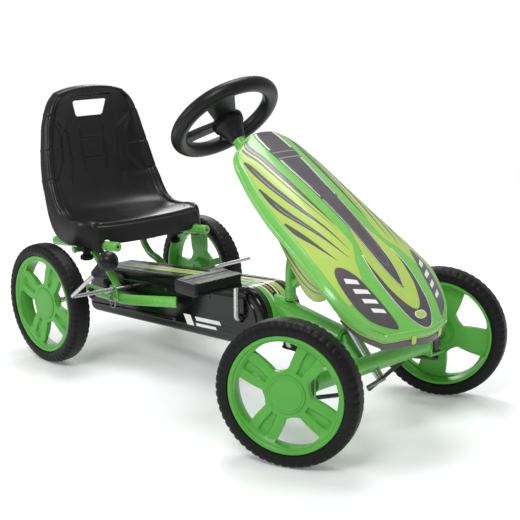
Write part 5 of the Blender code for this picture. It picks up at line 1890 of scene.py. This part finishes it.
# ---- steering
@dataclass
class Steering:
    """The steering wheel, column and tie rods."""

    centre: Vector = field(default_factory=lambda: Vector((0.331, 0.0, 0.5277)))
    down: Vector = field(default_factory=lambda: Vector((0.692, 0.0, -0.722)).normalized())
    plane_up: Vector = field(default_factory=lambda: Vector((0.722, 0.0, 0.692)).normalized())
    ring_r: float = 0.1006
    tube_r: float = 0.0153
    turn: float = 49.2
    kingpin: tuple[float, float] = (0.7197, 0.181)
    lock: float = 24.6

    def build(self, shop: Workshop) -> None:
        """Builds the steering.

        Args:
            shop: Where the pieces are kept.
        """
        shop.keep("wheel_ring", self._wheel(), GLOSS_SOFT, "steering", ("steering_wheel",))
        shop.keep("wheel_pad", self._pad(), GLOSS_SOFT, "steering")
        shop.keep("column_bar", bar([self.local(0, 0, 0.01), self.local(0, 0, 0.3), self.local(0, 0, 0.5965)],
            0.008, 32), STEEL, "steering", ("steering_column",))
        for sign, name in ((-1, "right"), (1, "left")):
            outer = self._arm_tip(sign) + Vector((0.0, 0.0, -0.0075))
            inner = self._pitman_tip() + Vector((0.0, sign * 0.012, -0.012))
            middle = (outer + inner) / 2
            shop.keep(f"track_rod_{name}", bar([outer, middle, inner], 0.004, 24), BLACK_STEEL, f"tie_rod_{name}",
                (f"tie_rod_{name}",))

    def local(self, a: float, b: float, c: float) -> Vector:
        """Gives a point from the wheel's middle: up its plane, sideways, and down the column."""
        return self.centre + self.plane_up * a + Y_AXIS * b + self.down * c

    def _pitman_tip(self) -> Vector:
        """Gives the end of the arm at the column's foot."""
        back = Vector((-0.722, 0.0, -0.692)).normalized()
        turn = Matrix.Rotation(math.radians(self.turn), 3, -self.down)
        return self.local(0.0, 0.0, 0.592) + (turn @ back) * 0.03

    def _arm_tip(self, sign: int) -> Vector:
        """Gives the end of a knuckle's steering arm.

        Args:
            sign: -1 on the driver's right.

        Returns:
            The point.
        """
        pin = Vector((self.kingpin[0], sign * self.kingpin[1], 0.0))
        arm = Vector((-0.055, -sign * 0.01, 0.088))
        return pin + Matrix.Rotation(math.radians(self.lock), 3, "Z") @ arm

    def _wheel(self) -> Form:
        """Models the ring, its three spokes and the deep hub.

        Returns:
            The mesh.
        """
        rings = []
        for k in range(120):
            angle = TAU * k / 120
            out = self.plane_up * math.cos(angle) + Y_AXIS * math.sin(angle)
            section = []
            for m in range(28):
                turn = TAU * m / 28
                size = self.tube_r - 0.0004 * math.exp(-((m - 14) / 0.8) ** 2)
                section.append(self.centre + out * (self.ring_r + size * math.cos(turn)) + self.down
                    * (size * math.sin(turn)))
            rings.append(section)
        form = skin(rings, wrap=True)
        hub = [(0.003, 0.008), (0.0012, 0.0165), (0.001, 0.0225), (0.002, 0.027), (0.0045, 0.0312),
            (0.0075, 0.0328), (0.012, 0.0325), (0.02, 0.0308), (0.0215, 0.029), (0.03, 0.025), (0.04, 0.02),
            (0.048, 0.017), (0.0545, 0.015), (0.055, 0.014), (0.055, 0.0083), (0.0075, 0.0083), (0.0075, 0.0006),
            (0.003, 0.0006)]
        form = turned(hub, self.centre, self.down, 64, closed=True, form=form)
        for direction, root, tip in ((-90, 0.021, 0.033), (90, 0.016, 0.024), (180, 0.0125, 0.015)):
            form = self._spoke(form, math.radians(direction + self.turn), root, tip)
        return form

    def _spoke(self, form: Form, angle: float, root: float, tip: float) -> Form:
        """Adds one ribbed spoke.

        Args:
            form: The mesh it goes in.
            angle: Its direction in the wheel's plane.
            root: Half width at the hub.
            tip: Half width at the ring.

        Returns:
            The same mesh.
        """
        out = self.plane_up * math.cos(angle) + Y_AXIS * math.sin(angle)
        wide = self.down.cross(out)
        rings = []
        for i in range(17):
            t = i / 16
            half = root + (tip - root) * t + 0.004 * smooth_step((t - 0.75) / 0.25)
            sink = 0.008 * (1.0 - t) ** 1.5
            middle = self.centre + out * (0.014 + (self.ring_r - 0.02) * t)
            rib = 0.0016 * smooth_step(t / 0.15) * smooth_step((1.0 - t) / 0.15)
            top = [(-1.0, -0.003), (-0.92, -0.0046), (-0.62, -0.0048), (-0.54, -0.0048 + rib),
                (-0.22, -0.0048 + rib), (-0.14, -0.0048), (0.14, -0.0048), (0.22, -0.0048 + rib),
                (0.54, -0.0048 + rib), (0.62, -0.0048), (0.92, -0.0046), (1.0, -0.003)]
            under = [(1.0, 0.0042), (0.85, 0.0058), (0.4, 0.006), (-0.4, 0.006), (-0.85, 0.0058), (-1.0, 0.0042)]
            rings.append([middle + wide * (a * half) + self.down * (b + sink) for a, b in top + under])
        return skin(rings, form=form)

    def _pad(self) -> Form:
        """Models the cap in the middle of the wheel."""
        profile = [(0.0022, 0.0165), (0.0004, 0.0165), (-0.0006, 0.0155), (-0.001, 0.012), (-0.0012, 0.0006)]
        return turned(profile, self.centre, self.down, 48)


# ---- studio
@dataclass
class Studio:
    """The floor, lights, background and camera."""

    axle_x: float
    camera_from_axle: Vector = field(default_factory=lambda: Vector((2.01, -1.4697, 0.7885)))
    azimuth: float = 47.0774
    elevation: float = 13.7857
    roll: float = -0.2701
    lens: float = 79.12
    sensor: float = 36.0
    floor_half: float = 6.0
    floor_fade: float = 3.2
    floor_glow: float = 0.12
    background: float = 1.0
    ambient: float = 0.5

    def build(self) -> None:
        """Sets up the studio."""
        self._floor()
        self._world()
        self._light("key_panel", (1.2, -2.0, 2.7), 44.0, 1.1)
        self._light("top_panel", (-0.5, 0.5, 2.8), 40.0, 1.3)
        self._light("rear_panel", (-2.2, 1.8, 1.6), 20.0, 0.9)
        self._light("side_panel", (-1.6, -2.4, 1.2), 12.0, 0.8)
        self._camera()
        bpy.context.scene.view_settings.view_transform = "Standard"
        bpy.context.scene.view_settings.look = "None"

    def _floor(self) -> None:
        """Lays the pale floor."""
        half = self.floor_half
        form = bmesh.new()
        corners = [form.verts.new((x, y, 0.0)) for x, y in ((-half, -half), (half, -half), (half, half),
            (-half, half))]
        form.faces.new(corners)
        mesh = bpy.data.meshes.new("studio_floor")
        form.to_mesh(mesh)
        form.free()
        floor = bpy.data.objects.new("studio_floor", mesh)
        bpy.context.scene.collection.objects.link(floor)
        made = bpy.data.materials.new("studio_floor")
        made.use_nodes = True
        graph, shader = Graph(made.node_tree), made.node_tree.nodes["Principled BSDF"]
        place = graph.node("TexCoord", {}).outputs["Object"]
        noise = graph.node("TexNoise", {"Vector": place, "Scale": 3.0}).outputs["Fac"]
        reach = graph.node("VectorMath", {0: place}, operation="LENGTH").outputs["Value"]
        fade = {"Value": reach, "From Min": 0.9, "From Max": self.floor_fade, "To Min": 1.0, "To Max": 0.0}
        alpha = graph.node("MapRange", fade, interpolation_type="SMOOTHSTEP").outputs["Result"]
        settings = {"Roughness": graph.span(noise, 0.0, 1.0, 0.55, 0.65),
            "Base Color": (0.9, 0.91, 0.92, 1.0), "Emission Color": (1.0, 1.0, 1.0, 1.0),
            "Emission Strength": self.floor_glow, "Alpha": alpha}
        for name, value in settings.items():
            graph.feed(value, shader.inputs[name])
        mesh.materials.append(made)
        floor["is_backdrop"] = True

    def _world(self) -> None:
        """Fills the surroundings with soft white light."""
        world = bpy.data.worlds.new("studio")
        world.use_nodes = True
        graph, shade = Graph(world.node_tree), world.node_tree.nodes["Background"]
        seen = graph.node("LightPath", {}).outputs["Is Camera Ray"]
        graph.feed((1.0, 1.0, 1.0, 1.0), shade.inputs["Color"])
        graph.feed(graph.span(seen, 0.0, 1.0, self.ambient, self.background), shade.inputs["Strength"])
        bpy.context.scene.world = world

    def _light(self, name: str, place: Sequence[float], power: float, size: float) -> None:
        """Adds a square soft light that looks at the kart.

        Args:
            name: Its name.
            place: Where it stands.
            power: Its power in watts.
            size: Its side length.
        """
        data = bpy.data.lights.new(name, "AREA")
        data.energy, data.size, data.shape = power, size, "SQUARE"
        light = bpy.data.objects.new(name, data)
        light.location = place
        light.rotation_mode = "QUATERNION"
        light.rotation_quaternion = (Vector((0.0, 0.0, 0.25)) - Vector(place)).to_track_quat("-Z", "Y")
        bpy.context.scene.collection.objects.link(light)

    def _camera(self) -> None:
        """Adds the camera."""
        a, e, r = (math.radians(value) for value in (self.azimuth, self.elevation, self.roll))
        back = Vector((math.sin(a) * math.cos(e), -math.cos(a) * math.cos(e), math.sin(e)))
        right = Vector((math.cos(a), math.sin(a), 0.0))
        up = back.cross(right)
        side, over = right * math.cos(r) + up * math.sin(r), up * math.cos(r) - right * math.sin(r)
        data = bpy.data.cameras.new("studio_camera")
        data.lens, data.sensor_width = self.lens, self.sensor
        camera = bpy.data.objects.new("studio_camera", data)
        turn = Matrix((side, over, back)).transposed().to_4x4()
        camera.matrix_world = Matrix.Translation(self.camera_from_axle + Vector((self.axle_x, 0.0, 0.0))) @ turn
        bpy.context.scene.collection.objects.link(camera)
        bpy.context.scene.camera = camera


def corners() -> list[list[float]]:
    """Gives the whole object's box as plain lists."""
    return [[round(value, 6) for value in corner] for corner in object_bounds()]


def main() -> None:
    """Builds the kart around its frame."""
    logging.basicConfig(level=logging.INFO, format="%(message)s", stream=sys.stdout)
    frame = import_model()
    low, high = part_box("rear_axle")
    shop = Workshop(axle_x=(low.x + high.x) / 2)
    wheels = (Wheel("rear", "right", "rear_axle", 20.0), Wheel("rear", "left", "rear_left_wheel", 55.0),
        Wheel("front", "right", "front_right_wheel", 14.0), Wheel("front", "left", "front_left_wheel", 34.0))
    for part in (*wheels, Seat(), Bonnet(), ChainCase(), Chassis(), Drive(), Brake(), Steering()):
        part.build(shop)
    shop.carry_over(frame["nodes"])
    Studio(shop.axle_x).build()
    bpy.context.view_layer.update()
    LOG.info("%d pieces kept", shop.count)


if __name__ == "__main__":
    main()
